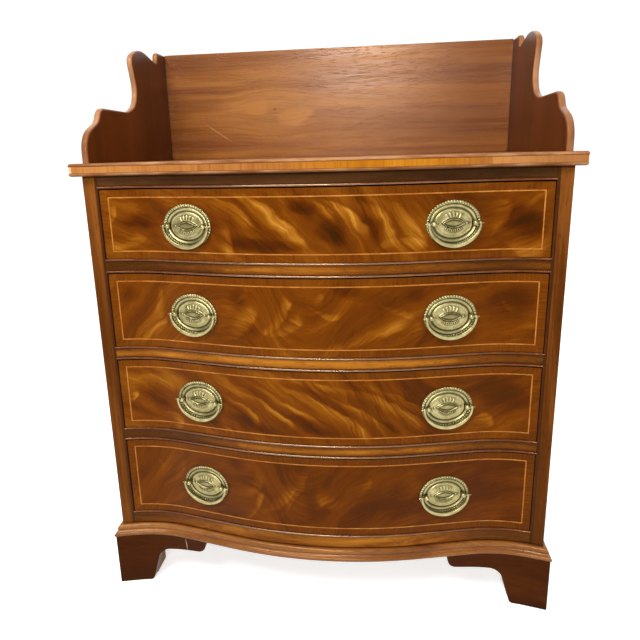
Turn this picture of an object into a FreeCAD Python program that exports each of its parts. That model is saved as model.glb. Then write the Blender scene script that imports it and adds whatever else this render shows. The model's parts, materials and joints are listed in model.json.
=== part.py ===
# Serpentine-fronted chest of four long drawers with a shaped gallery, as separate pieces.
# Millimetres, +X to the right, front towards -Y, +Z up, origin on the floor under the middle of the plan.
import FreeCAD, Part
import math
import os
import re
import Sketcher

Vector = FreeCAD.Vector
DRAWERS = (1, 2, 3, 4)
SIDES = {"left": -1, "right": 1}
# The hollow before a gallery end's throat is this much wider than the throat
DIP_TO_THROAT = 2

# Driving sizes, one cell each
SIZES = {
    # Plan of the serpentine front: bowed centre, straight runs, hollows, straight corner lands
    "centre_radius": 730,
    "straight_run": 96,
    "hollow_radius": 230,
    "sweep_angle": 12.5,
    # Carcase
    "carcase_width": 746,
    "carcase_depth": 420,
    "side_thickness": 18,
    "post_width": 22,
    "frame_depth": 95,
    "back_thickness": 9,
    "back_rebate": 9,
    "bottom_thickness": 14,
    "rail_face": 16,
    "top_rail_face": 16.6,
    "bottom_rail_face": 40.8,
    "bead_width": 3.5,
    "bead_depth": 9,
    "bead_proud": 2,
    "bead_shoulder": 0.8,
    # Top board and its crossbanded edge
    "top_thickness": 20,
    "top_overhang": 13,
    "top_arris": 4.5,
    "top_round": 3.5,
    "band_recess": 0.5,
    "band_thickness": 1.2,
    # Gallery
    "gallery_height": 215,
    "gallery_thickness": 12,
    "gallery_side_inset": 5,
    "gallery_back_inset": 3,
    "gallery_front_setback": -6.5,
    "lobe_start": 16,
    "lobe_radius": 42,
    "lobe_sweep": 66,
    "lobe_run": 18,
    "cove_radius": 26,
    "cove_sweep": 36,
    "cove_run": 5,
    "shoulder_radius": 22,
    "dip_sweep": 30,
    "throat_sweep": 76,
    "neck_run": 30,
    "ear_radius": 18,
    "ear_slope": 30,
    "brow_radius": 90,
    "ear_fall": 12,
    "ear_run": 44,
    "notch_radius": 12,
    "notch_rise": 75,
    "notch_run": 6,
    "crest_radius": 9,
    "crest_run": 44.8,
    "edge_round": 4.5,
    # Base
    "base_height": 97,
    "moulding_height": 20,
    "moulding_projection": 12,
    "moulding_quirk": 2,
    "ovolo_radius": 5,
    "cove_height": 5,
    "torus_height": 7,
    "foot_projection": 10,
    "foot_thickness": 18,
    "foot_pad": 53,
    "foot_heel_radius": 8,
    "foot_lean": 74,
    "foot_arch_radius": 28,
    "foot_wing_slope": 6,
    "foot_wing": 58,
    "foot_tip_radius": 16,
    "foot_tip_sweep": 70,
    "foot_tip_run": 11,
    "side_foot_gap": 57,
    "foot_block": 42,
    "foot_block_lift": 1,
    # Drawers
    "drawer_1_height": 112,
    "drawer_2_height": 126,
    "drawer_3_height": 126,
    "drawer_4_height": 142,
    "drawer_side_gap": 1,
    "drawer_top_gap": 2.1,
    "run_clearance": 0.3,
    "front_recess": 0.6,
    "front_thickness": 22,
    "drawer_back_gap": 19,
    "drawer_wall": 11,
    "wall_drop": 6,
    "drawer_back_thickness": 10,
    "drawer_back_drop": 8,
    "drawer_back_inset": 12,
    "bottom_lift": 8,
    "drawer_bottom_thickness": 6,
    "groove_depth": 5,
    "lap_thickness": 7,
    "tail_pitch": 28,
    "tail_width": 20,
    "tail_taper": 0.16,
    "inlay_inset": 11.6,
    "inlay_width": 1.8,
    "inlay_depth": 1,
    # Runners, guides, dust boards and stops
    "runner_height": 16,
    "runner_width": 26,
    "guide_clearance": 0.5,
    "guide_height": 18,
    "dust_thickness": 5,
    "dust_drop": 7,
    "dust_groove": 5,
    "stop_width": 30,
    "stop_depth": 12,
    "stop_height": 5,
    "stop_clearance": 0.3,
    "stop_inset": 22,
    # Oval handles
    "plate_width": 84,
    "plate_height": 69,
    "plate_thickness": 1.5,
    "rim_width": 4,
    "rim_height": 1.4,
    "ring_width": 58,
    "ring_height": 42,
    "ring_band": 3,
    "ring_rise": 1.2,
    "boss_length": 30,
    "boss_height": 13,
    "boss_rise": 1.6,
    "handle_drop": 1.5,
    "post_spacing": 63,
    "post_head_radius": 4.4,
    "post_crown_radius": 1,
    "post_shank_radius": 2.2,
    "post_stand": 7.4,
    "post_hole_clearance": 0.1,
    "nut_radius": 5,
    "nut_thickness": 3,
    "pin_radius": 1.4,
    "pin_clearance": 0.06,
    "pin_reach": 2.6,
    "bail_stand_off": 7.7,
    "bail_drop": 33,
    "bail_end_width": 3.8,
    "bail_middle_width": 6.4,
    "bail_thickness": 5.2,
    "bail_round": 1.6,
    "bail_side_sweep": 45,
    "knuckle_radius": 2.8,
    "finial_length": 3.2,
    "finial_tip_radius": 0.6,
}

# Sizes that follow from the driving ones
DERIVED = {
    "half_width": "=carcase_width / 2",
    "opening_half": "=carcase_width / 2 - post_width",
    "drawer_half": "=carcase_width / 2 - post_width - drawer_side_gap",
    "inner_half": "=carcase_width / 2 - side_thickness",
    "front_datum": "=top_overhang / 2 - carcase_depth / 2",
    "back_face": "=front_datum + carcase_depth",
    "back_inside": "=back_face - back_thickness",
    "frame_back": "=front_datum + frame_depth",
    "drawer_length": "=carcase_depth - back_thickness - drawer_back_gap",
    "drawer_end": "=front_datum + drawer_length",
    "bail_half_width": "=post_spacing / 2 + bail_stand_off",
    "opening_4_bottom": "=base_height + bottom_rail_face + bead_width",
}
for number in reversed(DRAWERS):
    DERIVED[f"drawer_{number}_bottom"] = f"=opening_{number}_bottom + run_clearance"
    DERIVED[f"opening_{number}_top"] = (
        f"=drawer_{number}_bottom + drawer_{number}_height + drawer_top_gap")
    if number > 1:
        DERIVED[f"opening_{number - 1}_bottom"] = f"=opening_{number}_top + 2 * bead_width + rail_face"
DERIVED["carcase_top"] = "=opening_1_top + bead_width + top_rail_face"
DERIVED["top_height"] = "=carcase_top + top_thickness"

doc = FreeCAD.newDocument("SerpentineChest")
sheet = doc.addObject("Spreadsheet::Sheet", "Sizes")
for row, (alias, content) in enumerate({**SIZES, **DERIVED}.items(), start=1):
    sheet.set(f"A{row}", alias)
    sheet.set(f"B{row}", str(content))
    sheet.setAlias(f"B{row}", alias)
doc.recompute()


class SizeReader:
    """Gives a cell of the sheet as a number, by its alias."""

    def __getattr__(self, alias):
        return float(sheet.get(alias))


s = SizeReader()
nodes = {}


# Objects bound to the sheet

def bound(item, bindings):
    for target, text in bindings.items():
        item.setExpression(target, re.sub(r"[a-z]\w*", r"Sizes.\g<0>", text))
    return item


def box(name, low, extent):
    targets = ("Placement.Base.x", "Placement.Base.y", "Placement.Base.z", "Length", "Width", "Height")
    return bound(doc.addObject("Part::Box", name), dict(zip(targets, low + extent)))


def cut(name, base, tool):
    item = doc.addObject("Part::Cut", name)
    item.Base = base
    item.Tool = tool
    return item


def fuse(name, pieces):
    item = doc.addObject("Part::MultiFuse", name)
    item.Shapes = pieces
    return item


def group(name, pieces):
    item = doc.addObject("Part::Compound", name)
    item.Links = pieces
    return item


def mirrored(name, source):
    item = doc.addObject("Part::Mirroring", name)
    item.Source = source
    item.Normal = Vector(1, 0, 0)
    return item


def node(label, item):
    item.Label = label
    nodes[label] = item
    return item


def shaped(label, pieces, level):
    """A node made of shapes drawn from the front datum, set down at a level above the floor."""
    item = doc.addObject("Part::Feature", label)
    whole = pieces[0] if len(pieces) == 1 else Part.makeCompound(pieces)
    item.Shape = whole
    item.Placement = FreeCAD.Placement(Vector(0, s.front_datum, level), FreeCAD.Rotation()) * whole.Placement
    return node(label, item)


# Outlines of straight runs and tangent arcs

class Pen:
    """Draws an outline in a plane. Headings are in degrees, and a positive turn is to the left."""

    def __init__(self, across, along, heading):
        self.across = across
        self.along = along
        self.heading = heading
        self.strokes = []

    def point(self):
        return (self.across, self.along)

    def run(self, length):
        start = self.point()
        self.across += length * math.cos(math.radians(self.heading))
        self.along += length * math.sin(math.radians(self.heading))
        self.strokes.append((start, self.point()))

    def turn(self, radius, angle):
        side = math.copysign(1, angle)
        toward = math.radians(self.heading + side * 90)
        centre = (self.across + radius * math.cos(toward), self.along + radius * math.sin(toward))
        places = []
        for share in (0, 0.5, 1):
            away = toward + math.pi + math.radians(angle * share)
            places.append((centre[0] + radius * math.cos(away), centre[1] + radius * math.sin(away)))
        self.across, self.along = places[2]
        self.heading += angle
        self.strokes.append(tuple(places))

    def to(self, across, along):
        self.strokes.append((self.point(), (across, along)))
        self.across, self.along = across, along

    def bow(self, middle, end):
        self.strokes.append((self.point(), middle, end))
        self.across, self.along = end

    def edges(self, place):
        drawn = []
        for stroke in self.strokes:
            ends = [place(*spot) for spot in stroke]
            drawn.append(Part.Arc(*ends).toShape() if len(ends) == 3 else Part.makeLine(*ends))
        return drawn


def in_plan(across, along):
    return Vector(across, along, 0)


def in_plan_mirrored(across, along):
    return Vector(-across, along, 0)


def plate_of(edges):
    return Part.Face(Part.Wire(edges))


def prism(outline, direction):
    return plate_of(outline).extrude(direction)


def polygon(points):
    return [Part.makeLine(first, second) for first, second in zip(points, points[1:] + points[:1])]


def block(low, high):
    extent = high - low
    return Part.makeBox(extent.x, extent.y, extent.z, low)


# The serpentine front

def half_front(offset, half_width):
    """Right half of the front line in plan, moved forward by offset, out to half_width."""
    pen = Pen(0, -offset, 0)
    pen.turn(s.centre_radius + offset, s.sweep_angle)
    pen.run(s.straight_run)
    radius = s.hollow_radius - offset
    reach = math.sin(math.radians(s.sweep_angle)) - (half_width - pen.across) / radius
    last_heading = max(math.degrees(math.asin(max(reach, -1))), -s.sweep_angle)
    pen.turn(radius, last_heading - s.sweep_angle)
    if half_width - pen.across > 0.001:
        pen.run((half_width - pen.across) / math.cos(math.radians(s.sweep_angle)))
    return pen


def furthest_back(offset, near, far):
    """How far back the front line reaches between two half widths on either side of its hollow."""
    hollow_start = half_front(offset, s.half_width).strokes[2][0]
    deepest = hollow_start[0] + (s.hollow_radius - offset) * math.sin(math.radians(s.sweep_angle))
    return half_front(offset, min(max(deepest, near), far)).along


def front_line(offset, half_width):
    """Edges of the front line from the left end to the right end, with its two end points."""
    pen = half_front(offset, half_width)
    edges = list(reversed(pen.edges(in_plan_mirrored))) + pen.edges(in_plan)
    return edges, in_plan_mirrored(*pen.point()), in_plan(*pen.point())


def curved_board(front_offset, back_offset, half_width, low, high):
    """A board of even thickness that follows the serpentine line."""
    front, front_left, front_right = front_line(front_offset, half_width)
    back, back_left, back_right = front_line(back_offset, half_width)
    outline = front + [Part.makeLine(front_right, back_right)] + list(reversed(back))
    outline.append(Part.makeLine(back_left, front_left))
    return prism(outline, Vector(0, 0, high - low)).translated(Vector(0, 0, low))


def curved_slab(front_offset, half_width, back, low, high):
    """A slab with a serpentine front edge and a straight back edge."""
    front, front_left, front_right = front_line(front_offset, half_width)
    back_left = Vector(-half_width, back, 0)
    back_right = Vector(half_width, back, 0)
    outline = front + [Part.makeLine(front_right, back_right), Part.makeLine(back_right, back_left)]
    outline.append(Part.makeLine(back_left, front_left))
    return prism(outline, Vector(0, 0, high - low)).translated(Vector(0, 0, low))


def swept_front(profile, half_width):
    """Sweeps a section along the serpentine line. The section's points are (forward, up)."""
    path, start, _ = front_line(0, half_width)
    slope = math.radians(s.sweep_angle)

    def place(forward, up):
        return start + Vector(forward * math.sin(slope), -forward * math.cos(slope), up)

    return Part.Wire(path).makePipe(plate_of(profile.edges(place)))


def corner_point(offset=0):
    """Plan corner where the front land meets the side, both moved outward by offset."""
    return in_plan(*half_front(offset, s.half_width + offset).point())


def mitre_wedge(low, high):
    """Everything between the two corner mitres: what belongs to a front piece."""
    corner = corner_point()
    bisector = corner - corner_point(s.foot_thickness)
    near = corner - bisector * 2
    far = corner + bisector * 2
    right = [far, near, Vector(near.x, near.y - s.frame_depth, 0)]
    left = [Vector(-spot.x, spot.y, 0) for spot in reversed(right)]
    return prism(polygon(right + left), Vector(0, 0, high - low)).translated(Vector(0, 0, low))


# Carcase

def make_sides():
    for side, sign in SIDES.items():
        outer = "inner_half" if sign > 0 else "0 - half_width"
        rebate = "inner_half" if sign > 0 else "0 - inner_half - back_rebate"
        height = "carcase_top - base_height"
        board = box(f"SideBoard_{side}", (outer, "frame_back", "base_height"),
                    ("side_thickness", "back_face - frame_back", height))
        notch = box(f"SideRebate_{side}", (rebate, "back_inside", "base_height"),
                    ("back_rebate", "back_thickness", height))
        node(f"side_{side}", cut(f"Side_{side}", board, notch))


def make_posts():
    for side, sign in SIDES.items():
        height = s.carcase_top - s.base_height
        slab = curved_slab(0, s.half_width, s.frame_depth, 0, height)
        ends = sorted((sign * s.opening_half, sign * s.half_width))
        post = slab.common(block(Vector(ends[0], -s.frame_depth, 0), Vector(ends[1], s.frame_depth, height)))
        for number in DRAWERS:
            low, high = opening_levels(number)
            bed = side_bead_bed(sign, low - s.bead_width, high + s.bead_width)
            post = post.cut(bed.translated(Vector(0, 0, -s.base_height)))
        shaped(f"corner_post_{side}", [post], s.base_height)


def opening_levels(number):
    return getattr(s, f"opening_{number}_bottom"), getattr(s, f"opening_{number}_top")


def side_bead_bed(sign, low, high):
    """The square rebate that a standing bead lies in."""
    ends = sorted((sign * s.opening_half, sign * (s.opening_half + s.bead_width)))
    bed = curved_board(s.bead_proud, -s.bead_depth, s.half_width, low, high)
    return bed.common(block(Vector(ends[0], -s.frame_depth, low), Vector(ends[1], s.frame_depth, high)))


def rail_shape(bead_below, face, bead_above):
    """A rail with a serpentine edge, rebated where beads lie above and below its face."""
    low = s.bead_width if bead_below else 0
    whole = low + face + (s.bead_width if bead_above else 0)
    rail = curved_slab(-s.bead_depth, s.opening_half, s.frame_depth, 0, whole)
    return rail.fuse(curved_board(0, -s.bead_depth, s.opening_half, low, low + face)).removeSplitter()


def make_rails():
    shaped("top_rail", [rail_shape(True, s.top_rail_face, False)], s.opening_1_top)
    rail = rail_shape(True, s.rail_face, True)
    levels = [getattr(s, f"opening_{number}_top") for number in DRAWERS[1:]]
    shaped("drawer_rails", [rail.translated(Vector(0, 0, level)) for level in levels], 0)
    shaped("bottom_rail", [rail_shape(False, s.bottom_rail_face, True)], s.base_height)


def bead_profile():
    """Section of a bead lying along a rail: square back, rounded nose."""
    pen = Pen(-s.bead_depth, 0, 0)
    pen.to(s.bead_shoulder, 0)
    pen.bow((s.bead_proud, s.bead_width / 2), (s.bead_shoulder, s.bead_width))
    pen.to(-s.bead_depth, s.bead_width)
    pen.to(-s.bead_depth, 0)
    return pen


def standing_bead(sign, low, high):
    """A bead along a post, with its rounded nose square to the corner land."""
    inner = s.opening_half
    outer = s.opening_half + s.bead_width

    def ahead(across, forward):
        return in_plan(across, half_front(forward, across).along)

    front_inner = ahead(inner, s.bead_shoulder)
    front_outer = ahead(outer, s.bead_shoulder)
    nose = ahead((inner + outer) / 2, s.bead_proud)
    back_inner = ahead(inner, -s.bead_depth)
    back_outer = ahead(outer, -s.bead_depth)
    outline = [Part.Arc(front_inner, nose, front_outer).toShape(), Part.makeLine(front_outer, back_outer),
               Part.makeLine(back_outer, back_inner), Part.makeLine(back_inner, front_inner)]
    bead = prism(outline, Vector(0, 0, high - low)).translated(Vector(0, 0, low))
    return bead if sign > 0 else bead.mirror(Vector(0, 0, 0), Vector(1, 0, 0))


def frame_parts(half, low, high, width):
    """Mitred quarters of a rectangular frame, as prisms along the depth: bottom, top, left, right."""
    outer = [(-half, low), (half, low), (half, high), (-half, high)]
    inner_half = half - width
    inner = [(-inner_half, low + width), (inner_half, low + width),
             (inner_half, high - width), (-inner_half, high - width)]
    quarters = []
    for first, second in ((0, 1), (2, 3), (3, 0), (1, 2)):
        corners = [outer[first], outer[second], inner[second], inner[first]]
        points = [Vector(across, -s.frame_depth, up) for across, up in corners]
        quarters.append(prism(polygon(points), Vector(0, 2 * s.frame_depth, 0)))
    return quarters


def make_beads():
    strips = []
    lying = swept_front(bead_profile(), s.half_width)
    for number in DRAWERS:
        low, high = opening_levels(number)
        quarters = frame_parts(s.opening_half + s.bead_width, low - s.bead_width, high + s.bead_width,
                               s.bead_width)
        whole = (lying.translated(Vector(0, 0, low - s.bead_width)), lying.translated(Vector(0, 0, high)),
                 standing_bead(-1, low - s.bead_width, high + s.bead_width),
                 standing_bead(1, low - s.bead_width, high + s.bead_width))
        strips += [strip.common(quarter) for strip, quarter in zip(whole, quarters)]
    shaped("opening_beads", [strip.Solids[0] for strip in strips], 0)


def make_case_boards():
    bottom_low = ("0 - inner_half", "frame_back", "opening_4_bottom - runner_height - bottom_thickness")
    node("bottom_board", box("BottomBoard", bottom_low,
                             ("2 * inner_half", "back_inside - frame_back", "bottom_thickness")))
    panel_half = "inner_half + back_rebate"
    node("back_panel", box("BackPanel", (f"0 - ({panel_half})", "back_inside", "base_height"),
                           (f"2 * ({panel_half})", "back_thickness", "carcase_top - base_height")))
    dust = []
    for number in DRAWERS[:-1]:
        level = f"opening_{number}_bottom - dust_drop - dust_thickness"
        reach = "inner_half - runner_width + dust_groove"
        dust.append(box(f"DustBoard_{number}", (f"0 - ({reach})", "frame_back", level),
                        (f"2 * ({reach})", "back_inside - frame_back", "dust_thickness")))
    node("dust_boards", group("DustBoards", dust))
    return dust


def make_runners(dust):
    length = "back_inside - frame_back"
    pieces = []
    for number in DRAWERS:
        top = f"opening_{number}_bottom"
        bearer_low = ("inner_half - runner_width", "frame_back", f"{top} - runner_height")
        bearer = box(f"Bearer_{number}", bearer_low, ("runner_width", length, "runner_height"))
        guide = box(f"Guide_{number}", ("drawer_half + guide_clearance", "frame_back", top),
                    ("inner_half - drawer_half - guide_clearance", length, "guide_height"))
        runner = fuse(f"Runner_{number}", [bearer, guide])
        if number != DRAWERS[-1]:
            runner = cut(f"GroovedRunner_{number}", runner, dust[number - 1])
        pieces += [runner, mirrored(f"LeftRunner_{number}", runner)]
    kicker = box("Kicker", ("inner_half - runner_width", "frame_back", "opening_1_top"),
                 ("runner_width", length, "carcase_top - opening_1_top"))
    pieces += [kicker, mirrored("LeftKicker", kicker)]
    node("drawer_runners", group("DrawerRunners", pieces))


def make_stops():
    """Blocks on the rails that meet the back of each drawer front at its hollow."""
    outer = s.drawer_half - s.drawer_wall - s.stop_inset
    middle = outer - s.stop_width / 2
    behind = -s.front_recess - s.front_thickness
    face = furthest_back(behind, outer - s.stop_width, outer) + s.stop_clearance
    pieces = []
    for number in DRAWERS:
        level = getattr(s, f"opening_{number}_bottom")
        for sign in SIDES.values():
            low = Vector(sign * middle - s.stop_width / 2, face, level)
            pieces.append(block(low, low + Vector(s.stop_width, s.stop_depth, s.stop_height)))
    shaped("drawer_stops", pieces, 0)


# Top board and gallery

def perimeter_edges(shape, level, back):
    """Edges of a slab at a level, without the one along its back."""
    picked = []
    for edge in shape.Edges:
        box_of = edge.BoundBox
        flat = abs(box_of.ZMin - level) < 0.01 and abs(box_of.ZMax - level) < 0.01
        if flat and box_of.YMin < back - 0.01:
            picked.append(edge)
    return picked


def make_top():
    half = s.half_width + s.top_overhang
    back = s.carcase_depth
    upper_low = s.top_thickness - s.top_arris
    groove = s.band_recess + s.band_thickness
    lower = curved_slab(s.top_overhang, half, back, 0, s.top_arris)
    lower = lower.makeFillet(s.top_round, perimeter_edges(lower, 0, back))
    upper = curved_slab(s.top_overhang, half, back, upper_low, s.top_thickness)
    upper = upper.makeFillet(s.top_round, perimeter_edges(upper, s.top_thickness, back))
    core = curved_slab(s.top_overhang - groove, half - groove, back, s.top_arris, upper_low)
    shaped("top_board", [lower.fuse([core, upper]).removeSplitter()], s.carcase_top)
    outside = curved_slab(s.top_overhang - s.band_recess, half - s.band_recess, back, s.top_arris, upper_low)
    band = outside.cut(core)
    wedge = mitre_wedge(0, s.top_thickness)
    front = band.common(wedge)
    returns = band.cut(wedge)
    shaped("top_edge_band", front.Solids + returns.Solids, s.carcase_top)


def gallery_front():
    return half_front(0, s.half_width - s.gallery_side_inset).along + s.gallery_front_setback


def end_pen(throat_radius, shoulder_run):
    """Upper edge of a gallery end, from the front of its lobe to its crest at the back."""
    pen = Pen(0, 0, 90)
    pen.run(s.lobe_start)
    pen.turn(s.lobe_radius, -s.lobe_sweep)
    pen.run(s.lobe_run)
    pen.turn(s.cove_radius, s.cove_sweep)
    pen.run(s.cove_run)
    pen.turn(s.shoulder_radius, -pen.heading)
    pen.run(shoulder_run)
    pen.turn(DIP_TO_THROAT * throat_radius, s.dip_sweep)
    pen.turn(throat_radius, s.throat_sweep)
    pen.run(s.neck_run)
    pen.turn(s.ear_radius, s.ear_slope - pen.heading)
    pen.turn(s.brow_radius, -(pen.heading + s.ear_fall))
    pen.run(s.ear_run)
    pen.turn(s.notch_radius, s.notch_rise + s.ear_fall)
    pen.run(s.notch_run)
    pen.turn(s.crest_radius, -s.notch_rise)
    return pen


def end_outline(length):
    """A gallery end seen from the side. Its throat takes up the height and its shoulder the length."""
    rise = s.gallery_height - end_pen(0, 0).along
    throat_radius = rise / (end_pen(1, 0).along - end_pen(0, 0).along)
    shoulder_run = length - s.crest_run - end_pen(throat_radius, 0).across
    pen = end_pen(throat_radius, shoulder_run)
    pen.to(length, s.gallery_height)
    pen.to(length, 0)
    pen.to(0, 0)
    return pen


def side_sketch(body, pen):
    """An outline drawn in a body's own side plane, with each stroke joined to the next."""
    plane = next(item for item in body.Origin.OriginFeatures if item.Role == "YZ_Plane")
    sketch = body.newObject("Sketcher::SketchObject", body.Name + "_outline")
    sketch.AttachmentSupport = (plane, [""])
    sketch.MapMode = "FlatFace"
    ends = []
    for index, stroke in enumerate(pen.strokes):
        spots = [in_plan(*spot) for spot in stroke]
        sketch.addGeometry(Part.Arc(*spots) if len(spots) == 3 else Part.LineSegment(*spots))
        forward = sketch.getPoint(index, 1).isEqual(spots[0], 0.001)
        ends.append((1, 2) if forward else (2, 1))
    for index, (_, last) in enumerate(ends):
        following = (index + 1) % len(ends)
        sketch.addConstraint(Sketcher.Constraint("Coincident", index, last, following, ends[following][0]))
    return sketch


def make_gallery():
    front = gallery_front()
    length = s.carcase_depth - s.gallery_back_inset - front
    for side, sign in SIDES.items():
        body = doc.addObject("PartDesign::Body", f"GalleryEnd_{side}")
        sketch = side_sketch(body, end_outline(length))
        pad = body.newObject("PartDesign::Pad", f"GalleryBoard_{side}")
        pad.Profile = sketch
        pad.Reversed = sign > 0
        bound(pad, {"Length": "gallery_thickness"})
        doc.recompute()
        shown = [f"Edge{index}" for index, edge in enumerate(pad.Shape.Edges, start=1)
                 if edge.BoundBox.XLength < s.edge_round and edge.BoundBox.ZMax > s.edge_round
                 and edge.BoundBox.YMin < length - s.edge_round]
        rounding = body.newObject("PartDesign::Fillet", f"GalleryRound_{side}")
        rounding.Base = (pad, shown)
        bound(rounding, {"Radius": "edge_round"})
        body.Placement.Base.y = s.front_datum + front
        bound(body, {"Placement.Base.x": f"{sign} * (half_width - gallery_side_inset)",
                     "Placement.Base.z": "top_height"})
        node(f"gallery_{side}_end", body)
    inner = "half_width - gallery_side_inset - gallery_thickness"
    back_low = (f"0 - ({inner})", "back_face - gallery_back_inset - gallery_thickness", "top_height")
    node("gallery_back", box("GalleryBack", back_low,
                             (f"2 * ({inner})", "gallery_thickness", "gallery_height")))


# Base moulding and bracket feet

def moulding_profile():
    """Section of the base moulding, from the case outward: quarter round, cove, torus."""
    pen = Pen(0, 0, 0)
    edge = s.moulding_projection - s.torus_height / 4
    pen.to(edge, 0)
    torus_top = (edge, s.torus_height)
    pen.bow((s.moulding_projection, s.torus_height / 2), torus_top)
    fillet = s.moulding_quirk + s.ovolo_radius
    cove_top = (fillet - s.moulding_quirk / 2, s.torus_height + s.cove_height)
    dip = ((torus_top[0] + cove_top[0]) / 2 - s.moulding_quirk / 2, s.torus_height + s.cove_height / 2)
    pen.bow(dip, cove_top)
    pen.to(fillet, cove_top[1])
    pen.to(fillet, s.moulding_height - s.ovolo_radius)
    pen.heading = 90
    pen.turn(s.ovolo_radius, 90)
    pen.to(0, s.moulding_height)
    pen.to(0, 0)
    return pen


def make_moulding():
    profile = moulding_profile()
    wedge = mitre_wedge(-1, s.moulding_height + 1)
    front = swept_front(profile, s.half_width + 2 * s.moulding_projection).common(wedge)
    start = corner_point().y - 2 * s.moulding_projection
    pieces = [front.Solids[0]]
    for sign in SIDES.values():

        def place(forward, up):
            return Vector(sign * (s.half_width + forward), start, up)

        length = Vector(0, s.carcase_depth - start, 0)
        pieces.append(plate_of(profile.edges(place)).extrude(length).cut(wedge).Solids[0])
    shaped("base_moulding", pieces, s.base_height)


def foot_pen(shank, wing):
    """Lower edge of a bracket foot, from its outer corner inward along the floor and up to its wing."""
    pen = Pen(0, 0, 0)
    pen.run(s.foot_pad)
    pen.turn(s.foot_heel_radius, s.foot_lean)
    pen.run(shank)
    pen.turn(s.foot_arch_radius, s.foot_wing_slope - s.foot_lean)
    pen.run(wing)
    pen.turn(s.foot_tip_radius, s.foot_tip_sweep)
    pen.run(s.foot_tip_run)
    return pen


def standing_foot(wing):
    """The lower edge of a foot whose shank takes up the height of the base."""
    rise = s.base_height - foot_pen(0, wing).along
    return foot_pen(rise / math.sin(math.radians(s.foot_lean)), wing)


def side_wing(length):
    """Wing of the feet along a side of that length, with the gap between the front and the rear foot."""
    shortest = standing_foot(0).across
    growth = standing_foot(1).across - shortest
    return ((length - s.side_foot_gap) / 2 - shortest) / growth


def foot_outline(place, wing):
    pen = standing_foot(wing)
    pen.to(0, s.base_height)
    pen.to(0, 0)
    return pen.edges(place)


def make_feet():
    corner = corner_point(s.foot_projection)
    outer = corner.x
    inner = outer - s.foot_thickness
    wedge = mitre_wedge(-1, s.base_height + 1)
    back = s.carcase_depth
    flank_wing = side_wing(back - corner.y)
    belt = curved_board(s.foot_projection, s.foot_projection - s.foot_thickness, outer, 0, s.base_height)
    blocks = []
    for side, sign in SIDES.items():

        def across_front(inward, up):
            return Vector(sign * (outer - inward), corner.y - s.foot_thickness, up)

        def along_side(inward, up):
            return Vector(sign * outer, corner.y + inward, up)

        def along_rear(inward, up):
            return Vector(sign * outer, back - inward, up)

        def across_rear(inward, up):
            return Vector(sign * (inner - inward + s.foot_projection), back - s.foot_thickness, up)

        thickness = Vector(-sign * s.foot_thickness, 0, 0)
        facing = prism(foot_outline(across_front, s.foot_wing), Vector(0, 2 * s.frame_depth, 0))
        facing = facing.common(belt).common(wedge)
        flank = prism(foot_outline(along_side, flank_wing), thickness).cut(wedge)
        shaped(f"front_{side}_foot", [facing.Solids[0], flank.Solids[0]], 0)
        rear_flank = prism(foot_outline(along_rear, flank_wing), thickness)
        rear_back = prism(foot_outline(across_rear, s.foot_wing), Vector(0, s.foot_thickness, 0))
        rear_back = rear_back.common(block(Vector(-inner, 0, 0), Vector(inner, back, s.base_height)))
        shaped(f"rear_{side}_foot", [rear_flank, rear_back.Solids[0]], 0)
        behind_facing = furthest_back(s.foot_projection - s.foot_thickness, inner - s.foot_block, inner)
        for near in (behind_facing, back - s.foot_thickness - s.foot_block):
            ends = sorted((sign * inner, sign * (inner - s.foot_block)))
            low = Vector(ends[0], near, s.foot_block_lift)
            blocks.append(block(low, Vector(ends[1], near + s.foot_block, s.base_height)))
    shaped("foot_blocks", blocks, 0)


# Drawers

def handle_place(sign):
    """Placement of a handle on the straight run of a drawer front."""
    run_start, run_end = half_front(-s.front_recess, s.drawer_half).strokes[1]
    across = (run_start[0] + run_end[0]) / 2
    along = (run_start[1] + run_end[1]) / 2
    turn = FreeCAD.Rotation(Vector(0, 0, 1), sign * s.sweep_angle)
    return FreeCAD.Placement(Vector(sign * across, along, 0), turn)


def handle_level(number):
    return getattr(s, f"drawer_{number}_height") / 2 - s.handle_drop


def tail_prisms(sign, height, lap):
    """Dovetail tails of a drawer side, widening towards the front."""
    count = int((height - s.wall_drop) / s.tail_pitch)
    first = (height - s.wall_drop - (count - 1) * s.tail_pitch) / 2
    reach = 2 * s.front_thickness
    narrow = s.tail_width / 2 - s.tail_taper * reach
    tails = []
    for index in range(count):
        middle = first + index * s.tail_pitch
        corners = [(lap, middle - s.tail_width / 2), (lap + reach, middle - narrow),
                   (lap + reach, middle + narrow), (lap, middle + s.tail_width / 2)]
        points = [Vector(sign * (s.drawer_half - s.drawer_wall), along, up) for along, up in corners]
        tails.append(prism(polygon(points), Vector(sign * s.drawer_wall, 0, 0)))
    return tails


def inlay_strips(height):
    """Four mitred strings let into the face of a drawer front."""
    sheet_of_wood = curved_board(-s.front_recess, -s.front_recess - s.inlay_depth, s.drawer_half, 0, height)
    quarters = frame_parts(s.drawer_half - s.inlay_inset, s.inlay_inset, height - s.inlay_inset,
                           s.inlay_width)
    return [sheet_of_wood.common(quarter).Solids[0] for quarter in quarters]


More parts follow.
